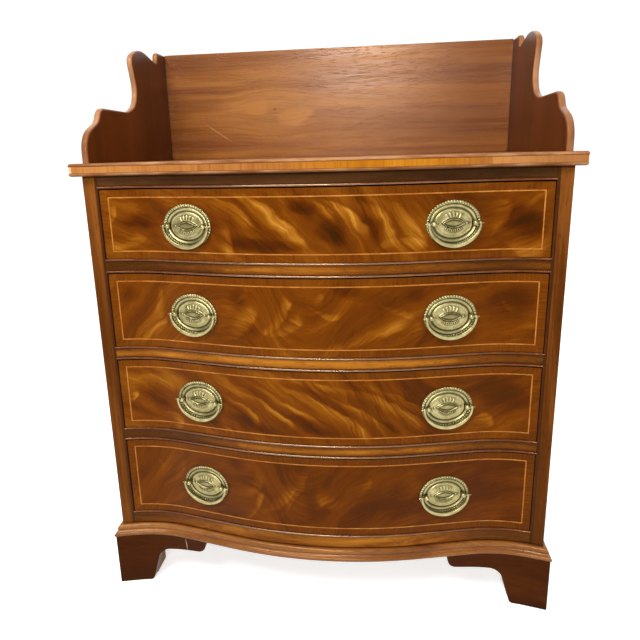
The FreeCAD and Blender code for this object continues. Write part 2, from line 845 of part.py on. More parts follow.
def make_drawer(number):
    height = getattr(s, f"drawer_{number}_height")
    level = getattr(s, f"drawer_{number}_bottom")
    back_offset = -s.front_recess - s.front_thickness
    front = curved_board(-s.front_recess, back_offset, s.drawer_half, 0, height)
    strips = inlay_strips(height)
    bottom = curved_slab(back_offset + s.groove_depth, s.drawer_half - s.drawer_wall + s.groove_depth,
                         s.drawer_length, s.bottom_lift, s.bottom_lift + s.drawer_bottom_thickness)
    lap = half_front(-s.front_recess, s.drawer_half).along + s.lap_thickness
    tails = [tail for sign in SIDES.values() for tail in tail_prisms(sign, height, lap)]
    handles = [handle_place(sign) for sign in SIDES.values()]
    bores = [bore for place in handles for bore in post_bores(place, number)]
    front = front.cut(strips + tails + [bottom] + bores)
    walls = []
    for sign in SIDES.values():
        ends = sorted((sign * s.drawer_half, sign * (s.drawer_half - s.drawer_wall)))
        wall = block(Vector(ends[0], lap, 0), Vector(ends[1], s.drawer_length, height - s.wall_drop))
        walls.append(wall.cut([front, bottom]).Solids[0])
    shaped(f"drawer_{number}_front", [front.Solids[0]], level)
    shaped(f"drawer_{number}_inlay", strips, level)
    shaped(f"drawer_{number}_sides", walls, level)
    shaped(f"drawer_{number}_bottom", [bottom], level)
    floor = f"drawer_{number}_bottom + bottom_lift + drawer_bottom_thickness"
    back_top = f"drawer_{number}_bottom + drawer_{number}_height - wall_drop - drawer_back_drop"
    back_half = "drawer_half - drawer_wall"
    back_low = (f"0 - ({back_half})", "drawer_end - drawer_back_inset - drawer_back_thickness", floor)
    back_size = (f"2 * ({back_half})", "drawer_back_thickness", f"{back_top} - ({floor})")
    node(f"drawer_{number}_back", box(f"DrawerBack_{number}", back_low, back_size))


# Oval handles, drawn square on with the drawer face in the plane of X and Z

def post_sides():
    return (-s.post_spacing / 2, s.post_spacing / 2)


def along_depth(radius, start, length, across):
    return Part.makeCylinder(radius, length, Vector(across, start, 0), Vector(0, 1, 0))


def set_on(shape, place, number):
    moved = shape.copy()
    moved.Placement = place * shape.Placement
    return moved.translated(Vector(0, 0, handle_level(number)))


def post_bores(place, number):
    radius = s.post_shank_radius + s.post_hole_clearance
    through = 2 * s.front_thickness
    return [set_on(along_depth(radius, -through / 2, 2 * through, across), place, number)
            for across in post_sides()]


def oval_disc(width, height, back, thickness):
    oval = Part.Ellipse(Vector(0, 0, 0), width / 2, height / 2).toShape()
    oval.rotate(Vector(0, 0, 0), Vector(1, 0, 0), 90)
    disc = plate_of([oval]).extrude(Vector(0, -thickness, 0))
    return disc.translated(Vector(0, back, 0))


def plate_shape():
    """Stamped oval plate: raised rim, raised inner ring and a pointed lens boss."""
    plate = oval_disc(s.plate_width, s.plate_height, 0, s.plate_thickness)
    face = -s.plate_thickness
    rim = oval_disc(s.plate_width, s.plate_height, face, s.rim_height)
    rim = rim.cut(oval_disc(s.plate_width - 2 * s.rim_width, s.plate_height - 2 * s.rim_width,
                            face, s.rim_height))
    ring = oval_disc(s.ring_width, s.ring_height, face, s.ring_rise)
    ring = ring.cut(oval_disc(s.ring_width - 2 * s.ring_band, s.ring_height - 2 * s.ring_band,
                              face, s.ring_rise))
    tip = s.boss_length / 2
    crown = s.boss_height / 2
    left, right = Vector(-tip, face, 0), Vector(tip, face, 0)
    outline = [Part.Arc(left, Vector(0, face, crown), right).toShape(),
               Part.Arc(right, Vector(0, face, -crown), left).toShape()]
    boss = prism(outline, Vector(0, -s.boss_rise, 0))
    plate = plate.fuse([rim, ring, boss])
    holes = [along_depth(s.post_shank_radius + s.post_hole_clearance, -s.post_stand, 2 * s.post_stand, across)
             for across in post_sides()]
    return plate.cut(holes).removeSplitter()


def turned(profile, axis):
    """A solid of revolution about a line through the origin. The profile's points are (along, out)."""
    side = Vector(0, 0, 1)
    section = plate_of(profile.edges(lambda along, out: axis * along + side * out))
    return section.revolve(Vector(0, 0, 0), axis, 360)


def post_shapes():
    """Two posts with round heads, each bored across for the bail, and a nut behind the drawer front."""
    end = s.front_thickness + s.nut_thickness
    reach = math.sqrt(s.post_head_radius ** 2 - s.post_shank_radius ** 2)
    crown = math.sqrt(s.post_head_radius ** 2 - s.post_crown_radius ** 2)
    profile = Pen(-end, 0, 90)
    profile.to(-end, s.post_shank_radius)
    profile.to(s.post_stand - reach, s.post_shank_radius)
    profile.bow((s.post_stand, s.post_head_radius), (s.post_stand + crown, s.post_crown_radius))
    profile.to(s.post_stand + crown, 0)
    profile.to(-end, 0)
    post = turned(profile, Vector(0, -1, 0))
    bore = Part.makeCylinder(s.pin_radius + s.pin_clearance, 4 * s.post_head_radius,
                             Vector(-2 * s.post_head_radius, -s.post_stand, 0), Vector(1, 0, 0))
    post = post.cut(bore)
    nut = along_depth(s.nut_radius, s.front_thickness, s.nut_thickness, 0)
    nut = nut.cut(along_depth(s.post_shank_radius + s.post_hole_clearance, 0, 2 * end, 0))
    return [piece.translated(Vector(across, 0, 0)) for across in post_sides() for piece in (post, nut)]


def half_oval(half_width, drop):
    """The lower half of an oval of tangent arcs, from its left end round to its right end."""
    sweep = math.radians(s.bail_side_sweep)
    straight, curl = math.cos(sweep), math.sin(sweep)
    scale = (1 - straight) * (1 - curl) - straight * curl
    side_radius = (half_width * (1 - curl) - drop * straight) / scale
    low_radius = (half_width - side_radius * (1 - straight)) / straight
    pen = Pen(-half_width, 0, -90)
    pen.turn(side_radius, s.bail_side_sweep)
    pen.turn(low_radius, 180 - 2 * s.bail_side_sweep)
    pen.turn(side_radius, s.bail_side_sweep)
    return pen


def bail_shape():
    """A crescent bail with a ball knuckle at each end: pin inward, pointed finial outward."""
    outer = half_oval(s.bail_half_width + s.bail_end_width / 2, s.bail_drop + s.bail_middle_width / 2)
    inner = half_oval(s.bail_half_width - s.bail_end_width / 2, s.bail_drop - s.bail_middle_width / 2)
    face = s.bail_thickness / 2

    def place(across, along):
        return Vector(across, -face, along)

    ends = [Part.makeLine(place(*outer.point()), place(*inner.point())),
            Part.makeLine(place(-inner.across, 0), place(-outer.across, 0))]
    outline = outer.edges(place) + [ends[0]] + list(reversed(inner.edges(place))) + [ends[1]]
    crescent = prism(outline, Vector(0, s.bail_thickness, 0))
    long_edges = [edge for edge in crescent.Edges if edge.BoundBox.ZMin < -s.bail_round
                  and edge.BoundBox.YLength < s.bail_round]
    crescent = crescent.makeFillet(s.bail_round, long_edges)
    half_knuckle = math.sqrt(s.knuckle_radius ** 2 - s.pin_radius ** 2)
    pin_end = s.post_spacing / 2 - s.pin_reach
    profile = Pen(pin_end, 0, 90)
    profile.to(pin_end, s.pin_radius)
    profile.to(s.bail_half_width - half_knuckle, s.pin_radius)
    profile.bow((s.bail_half_width, s.knuckle_radius), (s.bail_half_width + half_knuckle, s.pin_radius))
    profile.to(s.bail_half_width + half_knuckle + s.finial_length, s.finial_tip_radius)
    profile.to(s.bail_half_width + half_knuckle + s.finial_length, 0)
    profile.to(pin_end, 0)
    knuckles = [turned(profile, Vector(sign, 0, 0)) for sign in SIDES.values()]
    return crescent.fuse(knuckles).removeSplitter()


def make_handles():
    plate = plate_shape()
    posts = post_shapes()
    bail = bail_shape()
    bail.translate(Vector(0, -s.post_stand, 0))
    for number in DRAWERS:
        level = getattr(s, f"drawer_{number}_bottom")
        places = {side: handle_place(sign) for side, sign in SIDES.items()}
        shaped(f"drawer_{number}_plates", [set_on(plate, place, number) for place in places.values()], level)
        shaped(f"drawer_{number}_posts",
               [set_on(piece, place, number) for place in places.values() for piece in posts], level)
        for side, place in places.items():
            shaped(f"drawer_{number}_bail_{side}", [set_on(bail, place, number)], level)


def check_and_write():
    doc.recompute()
    for item in doc.Objects:
        if "Invalid" in item.State or "Error" in item.State:
            raise RuntimeError(f"{item.Name} failed: {item.State}")
    os.makedirs("parts", exist_ok=True)
    for label, item in nodes.items():
        if item.Shape.isNull() or not item.Shape.isValid():
            raise RuntimeError(f"{label} has no valid shape")
        item.Shape.exportStep(f"parts/{label}.step")
    print(len(nodes), "nodes,", sum(len(item.Shape.Solids) for item in nodes.values()), "solids")


make_sides()
make_posts()
make_rails()
make_beads()
make_runners(make_case_boards())
make_stops()
make_top()
make_gallery()
make_moulding()
make_feet()
for number in DRAWERS:
    make_drawer(number)
make_handles()
check_and_write()
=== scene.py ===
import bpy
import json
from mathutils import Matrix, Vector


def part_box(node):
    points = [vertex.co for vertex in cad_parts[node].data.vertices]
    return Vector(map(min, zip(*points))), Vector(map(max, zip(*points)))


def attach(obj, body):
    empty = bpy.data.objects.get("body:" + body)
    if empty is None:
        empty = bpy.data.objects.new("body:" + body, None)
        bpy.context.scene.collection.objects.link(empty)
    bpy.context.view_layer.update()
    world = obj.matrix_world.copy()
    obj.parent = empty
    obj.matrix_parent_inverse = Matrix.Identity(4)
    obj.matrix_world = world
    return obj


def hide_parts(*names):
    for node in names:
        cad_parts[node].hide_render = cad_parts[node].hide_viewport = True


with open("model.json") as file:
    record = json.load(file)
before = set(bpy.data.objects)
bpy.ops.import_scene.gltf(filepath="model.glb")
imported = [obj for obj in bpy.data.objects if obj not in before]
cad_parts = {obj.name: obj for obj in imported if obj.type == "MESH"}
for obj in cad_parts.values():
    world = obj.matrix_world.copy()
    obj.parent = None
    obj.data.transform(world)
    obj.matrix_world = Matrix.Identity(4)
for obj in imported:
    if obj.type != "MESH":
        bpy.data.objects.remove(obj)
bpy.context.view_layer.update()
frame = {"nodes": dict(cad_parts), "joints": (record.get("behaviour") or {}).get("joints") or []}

import json
import math

import bpy
import numpy as np
from mathutils import Matrix, Vector

# Lengths are metres in the part's own frame: +X right, front towards -Y, +Z up from the floor.
DRAWERS = (1, 2, 3, 4)
NODES = frame["nodes"]
MM = 0.001

# Camera, solved from the photograph's perspective for a square picture
PICTURE = 640
CAMERA_PLACE = Vector((0.09398, -1.04191, 0.7706))
CAMERA_YAW = -7.145
CAMERA_PITCH = -13.915
CAMERA_ROLL = -1.506
FOCAL_PIXELS = 568.72
CENTRE_PIXEL = (308.94, 295.57)
SENSOR = 36.0


def paint(red, green, blue):
    """A colour given by its screen values, 0 to 255, as the linear colour that shaders take."""
    def linear(level):
        share = level / 255
        return share / 12.92 if share <= 0.04045 else ((share + 0.055) / 1.055) ** 2.4
    return (linear(red), linear(green), linear(blue), 1.0)


# Node materials

# The numbers of a mix node's two inputs and of its output
MIX_SOCKETS = {"FLOAT": (2, 3, 0), "VECTOR": (4, 5, 1), "RGBA": (6, 7, 2)}
# The brown of painted shade in corners and beside raised pieces
CORNER_SHADE = paint(26, 11, 4)


class Nodes:
    """A node tree: add makes a node, feed fills an input, and each other method gives what its node puts out."""

    def __init__(self, tree):
        self.tree = tree

    def add(self, kind, **settings):
        made = self.tree.nodes.new(kind)
        for setting, value in settings.items():
            setattr(made, setting, value)
        return made

    def feed(self, socket, value):
        if isinstance(value, bpy.types.NodeSocket):
            self.tree.links.new(value, socket)
        else:
            socket.default_value = value

    def math(self, operation, first, second=0.0):
        made = self.add("ShaderNodeMath", operation=operation)
        for socket, value in zip(made.inputs, (first, second)):
            self.feed(socket, value)
        return made.outputs[0]

    def plus(self, *values):
        total = values[0]
        for value in values[1:]:
            total = self.math("ADD", total, value)
        return total

    def minus(self, first, second):
        return self.math("SUBTRACT", first, second)

    def times(self, first, second):
        return self.math("MULTIPLY", first, second)

    def size(self, value):
        return self.math("ABSOLUTE", value)

    def smooth(self, value, low, high, to_low=0.0, to_high=1.0, kind="SMOOTHSTEP"):
        made = self.add("ShaderNodeMapRange", interpolation_type=kind)
        for socket, given in zip(made.inputs, (value, low, high, to_low, to_high)):
            self.feed(socket, given)
        return made.outputs["Result"]

    def axes(self, vector):
        made = self.add("ShaderNodeSeparateXYZ")
        self.feed(made.inputs[0], vector)
        return made.outputs

    def vector(self, across, depth, up):
        made = self.add("ShaderNodeCombineXYZ")
        for socket, value in zip(made.inputs, (across, depth, up)):
            self.feed(socket, value)
        return made.outputs[0]

    def vectors(self, operation, first, second):
        made = self.add("ShaderNodeVectorMath", operation=operation)
        self.feed(made.inputs[0], first)
        self.feed(made.inputs[1], second)
        return made.outputs["Value" if operation in ("DOT_PRODUCT", "LENGTH") else "Vector"]

    def scaled(self, vector, scale, shift=(0, 0, 0)):
        made = self.add("ShaderNodeMapping")
        self.feed(made.inputs["Vector"], vector)
        made.inputs["Scale"].default_value = scale
        made.inputs["Location"].default_value = shift
        return made.outputs[0]

    def noise(self, vector, scale=1.0, detail=3.0, roughness=0.5, distortion=0.0, colour=False):
        made = self.add("ShaderNodeTexNoise")
        self.feed(made.inputs["Vector"], vector)
        for socket, value in (("Scale", scale), ("Detail", detail), ("Roughness", roughness),
                              ("Distortion", distortion)):
            made.inputs[socket].default_value = value
        return made.outputs["Color" if colour else "Fac"]

    def own_tone(self, number):
        """A chance tone for each whole number, the same in every run."""
        made = self.add("ShaderNodeTexWhiteNoise", noise_dimensions="1D")
        self.feed(made.inputs["W"], number)
        return made.outputs["Value"]

    def warped(self, vector, scale, reach, detail=3.0):
        """The place moved about by noise, up to half the reach each way."""
        drift = self.vectors("SUBTRACT", self.noise(vector, scale, detail, colour=True), (0.5, 0.5, 0.5))
        return self.vectors("ADD", vector, self.vectors("MULTIPLY", drift, (reach, reach, reach)))

    def ramp(self, value, *stops):
        made = self.add("ShaderNodeValToRGB")
        elements = made.color_ramp.elements
        while len(elements) < len(stops):
            elements.new(0.5)
        for element, (place, colour) in zip(elements, stops):
            element.position = place
            element.color = colour
        self.feed(made.inputs[0], value)
        return made.outputs["Color"]

    def mix(self, factor, first, second, blend="MIX", kind="RGBA"):
        made = self.add("ShaderNodeMix", data_type=kind, blend_type=blend)
        one, other, result = MIX_SOCKETS[kind]
        for socket, value in ((0, factor), (one, first), (other, second)):
            self.feed(made.inputs[socket], value)
        return made.outputs[result]


class Finish(Nodes):
    """One material, with constants set on the shader's own sockets."""

    def __init__(self, name, **constants):
        self.material = bpy.data.materials.new(name)
        self.material.use_nodes = True
        super().__init__(self.material.node_tree)
        self.shader = self.tree.nodes["Principled BSDF"]
        for words, value in constants.items():
            self.shader.inputs[words.replace("_", " ").title().replace("Ior", "IOR")].default_value = value
        self.spot = self.add("ShaderNodeTexCoord").outputs["Object"]

    def set(self, name, value):
        self.feed(self.shader.inputs[name], value)

    def normal(self):
        return self.add("ShaderNodeNewGeometry").outputs["Normal"]

    def normal_axes(self):
        return self.axes(self.normal())

    def front(self, strength=1.0):
        """The strength on faces that look forward, nought on the others."""
        return self.smooth(self.normal_axes()[1], -0.7, -0.6, strength, 0.0)

    def edges(self, radius):
        """The rounded normal, and how sharply the surface turns within a radius."""
        made = self.add("ShaderNodeBevel", samples=4)
        made.inputs["Radius"].default_value = radius
        along = self.vectors("DOT_PRODUCT", made.outputs[0], self.normal())
        return made.outputs[0], self.minus(1.0, along)

    def corner_shaded(self, colour, reach=0.007, depth=0.30):
        """The colour darkened by ambient occlusion in corners and beside raised pieces: painted shade."""
        made = self.add("ShaderNodeAmbientOcclusion", samples=4)
        made.inputs["Distance"].default_value = reach
        return self.mix(self.smooth(made.outputs["AO"], 0.25, 0.85, 1.0 - depth, 0.0), colour, CORNER_SHADE)

    def bump(self, height, distance, normal=None):
        made = self.add("ShaderNodeBump")
        made.inputs["Strength"].default_value = 1.0
        made.inputs["Distance"].default_value = distance
        self.feed(made.inputs["Height"], height)
        if normal is not None:
            self.feed(made.inputs["Normal"], normal)
        return made.outputs[0]


# Marks in the wood: a comet is bowed, thin at its tail and ends in a sharp head; a patch is a soft oval

def mark_group(name, shape):
    group = bpy.data.node_groups.new(name, "ShaderNodeTree")
    group.interface.new_socket("Place", in_out="INPUT", socket_type="NodeSocketVector")
    group.interface.new_socket("Tone", in_out="OUTPUT", socket_type="NodeSocketFloat")
    nodes = Nodes(group)
    along, across, _ = nodes.axes(nodes.add("NodeGroupInput").outputs[0])
    nodes.feed(nodes.add("NodeGroupOutput").inputs[0], shape(nodes, along, across))
    return group


def comet_shape(nodes, along, across):
    rise = nodes.smooth(along, -0.25, 0.85)
    stop = nodes.smooth(along, 0.94, 1.12, 1.0, 0.0)
    arc = nodes.times(nodes.times(along, nodes.minus(1.0, along)), 3.0)
    over = nodes.math("DIVIDE", nodes.minus(across, arc), nodes.smooth(along, -0.1, 0.9, 0.4, 1.0))
    crisp = nodes.smooth(over, 0.45, 1.0, 1.0, 0.0)
    soft = nodes.smooth(over, -1.5, 0.2)
    return nodes.times(nodes.times(rise, stop), nodes.times(crisp, soft))


def patch_shape(nodes, along, across):
    reach = nodes.math("DIVIDE", nodes.minus(along, 0.5), 0.8)
    radius = nodes.vectors("LENGTH", nodes.vector(reach, across, 0.0), (0, 0, 0))
    return nodes.smooth(radius, 0.15, 1.0, 1.0, 0.0)


COMET = mark_group("comet", comet_shape)
PATCH = mark_group("patch", patch_shape)


def mark(finish, group, place, tail, head, half_width):
    """How strongly a mark from tail to head shows; the places are the first two axes, in metres."""
    run = (head[0] - tail[0], head[1] - tail[1])
    local = finish.add("ShaderNodeMapping", vector_type="TEXTURE")
    finish.feed(local.inputs["Vector"], place)
    local.inputs["Location"].default_value = (tail[0], tail[1], 0)
    local.inputs["Rotation"].default_value = (0, 0, math.atan2(run[1], run[0]))
    local.inputs["Scale"].default_value = (math.hypot(*run), half_width, 1)
    made = finish.add("ShaderNodeGroup", node_tree=group)
    finish.feed(made.inputs[0], local.outputs[0])
    return made.outputs[0]


# Wood

POLISH = dict(specular_ior_level=0.24, specular_tint=paint(255, 184, 92))
DULL = dict(specular_ior_level=0.08, specular_tint=paint(255, 192, 124))
GRAIN = {"X": (1, 0, 0), "Y": (0, 1, 0), "Z": (0, 0, 1)}
WORN_RADIUS = 0.0012


def polished(name):
    return Finish(name, **POLISH)


def stretched(finish, place, grain, along, across, shift=(0, 0, 0)):
    """Coordinates stretched along the grain: repeats per metre along it and across it."""
    scale = [along if share else across for share in GRAIN[grain]]
    return finish.scaled(place, scale, shift)


def grained(finish, grain, along, across, shift=(0, 0, 0), place=None):
    """Stretched coordinates; a grain such as XY runs along X on front faces and along Y on side faces."""
    place = place or finish.spot
    first = stretched(finish, place, grain[0], along, across, shift)
    if len(grain) == 1:
        return first
    sideways = finish.smooth(finish.size(finish.normal_axes()[0]), 0.62, 0.74)
    second = stretched(finish, place, grain[1], along, across, shift)
    return finish.mix(sideways, first, second, kind="VECTOR")


def timber(finish, grain, dark, middle, light, worn, shift=(0, 0, 0), shine=0.32, wear=0.6, pore=0.45,
           stripes=16, place=None, extra=None):
    """Straight-grained wood with growth lines, open pores, worn edges and painted shade in corners; extra adds to
    its tone.
    """
    def grain_noise(along, across, **settings):
        return finish.noise(grained(finish, grain, along, across, shift, place), **settings)
    figure = grain_noise(2.2, stripes, detail=4, roughness=0.55, distortion=0.6)
    lines = grain_noise(3.5, 120, detail=3, roughness=0.6, distortion=0.4)
    pores = grain_noise(55, 900, detail=2)
    level = finish.plus(finish.times(figure, 0.70), finish.times(lines, 0.30))
    if extra is not None:
        level = finish.plus(level, extra)
    colour = finish.ramp(level, (0.30, dark), (0.50, middle), (0.70, light))
    open_pore = finish.smooth(pores, 0.58, 0.68)
    colour = finish.mix(finish.times(open_pore, pore), colour, dark, "MULTIPLY")
    rounded, turn = finish.edges(WORN_RADIUS)
    rubbed = finish.smooth(finish.noise(finish.spot, scale=40, detail=3), 0.35, 0.65, 0.35, 1.0)
    colour = finish.mix(finish.times(finish.smooth(turn, 0.02, 0.35, 0.0, wear), rubbed), colour, worn)
    finish.set("Roughness", finish.smooth(lines, 0.2, 0.8, shine - 0.05, shine + 0.09))
    height = finish.minus(finish.times(lines, 0.4), open_pore)
    finish.set("Normal", finish.bump(height, 0.00010, rounded))
    # Painted shade: the colour is darkened in corners and beside raised pieces.
    finish.colour = finish.corner_shaded(colour)
    finish.set("Base Color", finish.colour)
    return finish


def palette(dark, middle, light, worn=(196, 142, 98)):
    """A timber's colours: the dark, middle and light of its figure, and its worn edges."""
    return dict(dark=paint(*dark), middle=paint(*middle), light=paint(*light), worn=paint(*worn))


GOLDEN = palette((98, 50, 18), (142, 84, 36), (174, 114, 58))
MOULDED = palette((86, 42, 12), (126, 71, 26), (158, 100, 46))
RAIL = palette((68, 32, 8), (120, 64, 16), (188, 118, 36), (178, 116, 62))
BROWN = palette((54, 23, 4), (84, 39, 7), (110, 56, 13), (146, 92, 52))
POST = dict(BROWN, light=paint(134, 76, 28))
SHADED = palette((44, 22, 12), (68, 38, 20), (92, 56, 33), (120, 84, 58))
DARK = palette((50, 21, 4), (67, 29, 5), (84, 39, 9), (104, 58, 28))
# The gallery ends' colours, dark as painted shade
SHADED_INSIDE = palette((76, 33, 5), (94, 44, 9), (110, 54, 14))
BOARD = palette((108, 55, 9), (131, 74, 17), (160, 101, 34), (182, 130, 88))
OAK = palette((132, 94, 54), (168, 128, 80), (194, 156, 106), (204, 172, 128))
PINE = palette((118, 84, 48), (156, 118, 72), (184, 146, 96), (190, 156, 112))


# Flame veneer: the figure's flow over each front, its tone at the left and right ends (lower to the right, partly
# the veneer's own tone and partly painted shade), its contrast, and the plumes in it as (tail x, z, head x, z,
# half width, strength), in mm from the middle of the front; a strength below nought is a dark patch
FALLING = ((0.0, 0.0), (0.50, 0.20), (0.72, 0.42), (0.82, 0.46), (1.0, 0.42))
RISING = ((0.0, 0.25), (0.329, 0.09), (0.471, 0.21), (0.586, 0.14), (1.0, 0.04))
FLAMES = {
    1: (FALLING, (0.41, 0.35), 0.76, (
        (-343, 29, -328, 14, 9, .5), (-271, 0, -339, -29, 10, .4), (-202, 46, -99, 4, 8, .7),
        (-160, 13, -137, -43, 10, .45), (-134, 44, -39, -5, 9, .6), (-79, 28, -13, -27, 7, .5),
        (-59, 46, 23, 16, 6, .5), (-11, 41, 77, -10, 8, .75), (37, 42, 117, -21, 12, .6),
        (92, 35, 159, -32, 12, .5), (247, 26, 276, -7, 16, .5), (343, -22, 295, -49, 14, .45),
        (85, -42, 159, -28, 8, .35), (-316, 6, -250, 11, 16, -.5), (-136, -25, -18, -31, 12, -.6),
        (-39, 34, 1, 27, 10, -.5), (11, 0, 41, -25, 14, -.6), (67, 18, 104, -24, 16, -.5),
        (273, 12, 337, -13, 23, -.6))),
    2: (RISING, (0.39, 0.33), 0.60, (
        (-339, -56, -261, 1, 14, .55), (-283, 0, -260, 38, 5, .4), (-166, -46, -103, 11, 12, .6),
        (-140, 18, -114, 40, 5, .35), (-104, 7, -78, -27, 5, .4), (-85, -30, -46, 29, 11, .65),
        (-78, -27, -20, -3, 9, .55), (-19, 27, 5, 42, 6, .4), (-12, 20, 29, 5, 5, .5),
        (-119, -55, 34, -46, 8, .4), (-4, -43, 132, -12, 9, .5), (89, 27, 147, -3, 5, .35),
        (81, -42, 162, -21, 12, .5), (248, -52, 339, 1, 12, .3), (282, 35, 306, 4, 4, .25),
        (-339, 19, -305, 37, 16, -.35), (-139, 31, -109, 17, 18, -.4), (-128, -22, -84, -21, 12, -.45),
        (21, 51, 81, 38, 14, -.5), (270, 16, 336, 26, 23, -.35), (138, 28, 161, 27, 12, -.3))),
    3: (FALLING, (0.43, 0.29), 0.84, (
        (-339, -10, -328, -21, 9, .45), (-327, 22, -262, 21, 8, .4), (-283, -34, -251, -62, 10, .45),
        (-177, 22, -95, -33, 5, .6), (-157, 34, -41, -34, 6, .55), (-123, 41, 15, -40, 5, .45),
        (-187, -40, -149, -58, 7, .4), (-79, 50, 76, -51, 8, .6), (-22, 44, 113, -47, 6, .45),
        (16, 43, 165, -36, 9, .55), (56, 46, 189, -28, 7, .4), (-160, 56, 16, 38, 7, .4),
        (237, -47, 283, -34, 10, .45), (-317, 7, -262, -25, 18, -.55), (-146, -22, -68, -50, 12, -.45),
        (-40, -21, 41, -49, 12, -.5), (97, -28, 129, -50, 10, -.35), (259, 15, 339, -1, 27, -.3))),
    4: (RISING, (0.33, 0.24), 0.54, (
        (-339, -61, -249, -35, 8, .35), (-306, 18, -294, 34, 5, .3), (-294, -26, -247, 31, 7, .3),
        (-161, -6, -98, 27, 12, .4), (-135, -66, -98, -4, 6, .6), (-99, -44, -45, 17, 9, .65),
        (-76, -55, -28, 35, 6, .5), (-2, 22, 30, -21, 12, .45), (55, -6, 81, 33, 5, .3),
        (97, -4, 158, 34, 16, .3), (34, -67, 160, -41, 10, .3), (-346, 2, -339, -67, 7, .3),
        (-166, 59, -135, 41, 16, -.3), (-20, -9, -3, -36, 14, -.35), (51, -31, 118, -18, 14, -.3),
        (246, -2, 293, -3, 31, -.2), (-71, 52, -27, 54, 14, -.25))),
}

# What the wisps, fibres and plumes add to the figure's tone, how much wider the plumes are drawn than listed, and
# the steps in the noise from one front to the next
WISP_WEIGHT = 0.30
FIBRE_WEIGHT = 0.16
PLUME_WEIGHT = 0.60
PLUME_SPREAD = 1.35
VENEER_SEED = 3.7
STREAK_SEED = 1.3
# The flame gives way to the margin under the string, this far from the string's outer edge
UNDER_STRING = (-0.0009, -0.0006)
MARGIN_WEIGHT = 0.35


def flow_curve(finish, share, points):
    made = finish.add("ShaderNodeFloatCurve")
    finish.feed(made.inputs["Value"], share)
    curve = made.mapping.curves[0]
    curve.points[0].location = points[0]
    curve.points[1].location = points[-1]
    for point in points[1:-1]:
        curve.points.new(*point)
    made.mapping.update()
    return made.outputs[0]


def flame_figure(finish, number, flat, low, high):
    """The crotch figure of a front: its colour, its clouds and its fibres."""
    flow, (left_tone, right_tone), contrast, plumes = FLAMES[number]
    place = finish.warped(finish.warped(finish.warped(flat, 6.0, 0.04), 18.0, 0.018), 55.0, 0.007, detail=2.0)
    across, up, _ = finish.axes(place)
    share = finish.math("DIVIDE", finish.minus(across, low.x), high.x - low.x)
    stream = finish.plus(up, flow_curve(finish, share, flow))

    def streaks(along, over, detail):
        where = finish.vector(finish.times(across, along), finish.times(stream, over), number * STREAK_SEED)
        return finish.noise(where, detail=detail, roughness=0.55)
    clouds = streaks(9.0, 24.0, 5.0)
    wisps = streaks(14.0, 110.0, 4.0)
    fibres = streaks(24.0, 400.0, 2.0)
    # The tone falls from the left end to the right: partly the veneer's own tone, partly painted shade.
    level = finish.plus(finish.times(share, right_tone - left_tone), left_tone,
                        finish.times(finish.minus(clouds, 0.5), contrast),
                        finish.times(finish.minus(wisps, 0.5), WISP_WEIGHT * contrast),
                        finish.times(finish.minus(fibres, 0.5), FIBRE_WEIGHT))
    lively = finish.smooth(wisps, 0.3, 0.7, 0.55, 1.3)
    # The plumes bow over on a falling flow and under on a rising one
    spread = PLUME_SPREAD if flow is FALLING else -PLUME_SPREAD
    for tail_x, tail_z, head_x, head_z, half_width, strength in plumes:
        group = COMET if strength > 0 else PATCH
        shown = mark(finish, group, place, (tail_x * MM, tail_z * MM), (head_x * MM, head_z * MM),
                     half_width * spread * MM)
        weight = PLUME_WEIGHT * strength * contrast
        level = finish.plus(level, finish.times(finish.times(shown, lively), weight))
    colour = finish.ramp(level, (0.02, paint(42, 13, 1)), (0.22, paint(73, 26, 1)), (0.42, paint(109, 52, 3)),
                         (0.58, paint(141, 81, 14)), (0.76, paint(177, 114, 34)), (0.98, paint(202, 146, 66)))
    return colour, clouds, fibres


def flame_margin(finish, flat, over_side, over_edge, figure):
    """The crossbanded margin's colour. Its grain runs square to the nearest edge."""
    upright = finish.noise(stretched(finish, flat, "Y", 14, 330), detail=3)
    level = finish.noise(stretched(finish, flat, "X", 14, 330), detail=3)
    at_side = finish.math("GREATER_THAN", over_side, over_edge)
    banding = finish.plus(finish.times(upright, finish.minus(1.0, at_side)), finish.times(level, at_side))
    plain = finish.ramp(banding, (0.30, paint(80, 37, 5)), (0.50, paint(106, 53, 8)), (0.70, paint(132, 72, 16)))
    return finish.mix(MARGIN_WEIGHT, figure, plain)


def flame(number):
    """Crotch veneer inside the string line, a crossbanded margin outside it, plain wood on the other faces."""
    finish = polished(f"flame_veneer_{number}")
    low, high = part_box(f"drawer_{number}_front")
    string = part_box(f"drawer_{number}_inlay")[1]
    middle = (low.z + high.z) / 2
    across, _, height = finish.axes(finish.spot)
    up = finish.minus(height, middle)
    flat = finish.vector(across, up, number * VENEER_SEED)
    figure, clouds, fibres = flame_figure(finish, number, flat, low, high)
    over_side = finish.minus(finish.size(across), string.x)
    over_edge = finish.minus(finish.size(up), string.z - middle)
    outside = finish.smooth(finish.math("MAXIMUM", over_side, over_edge), *UNDER_STRING)
    colour = finish.mix(outside, figure, flame_margin(finish, flat, over_side, over_edge, figure))
    plain = finish.ramp(finish.noise(stretched(finish, finish.spot, "X", 4, 90), detail=4),
                        (0.3, BROWN["dark"]), (0.5, BROWN["middle"]), (0.7, BROWN["light"]))
    colour = finish.mix(finish.front(), plain, colour)
    pores = finish.smooth(finish.noise(finish.scaled(flat, (500, 500, 1)), detail=2), 0.60, 0.72)
    colour = finish.mix(finish.times(pores, 0.25), colour, paint(96, 46, 16), "MULTIPLY")
    # Painted shade in corners and beside the beads.
    finish.set("Base Color", finish.corner_shaded(colour, 0.005))
    finish.set("Roughness", finish.smooth(clouds, 0.3, 0.7, 0.27, 0.36))
    finish.set("Normal", finish.bump(finish.minus(fibres, pores), 0.00004))
    return finish.material


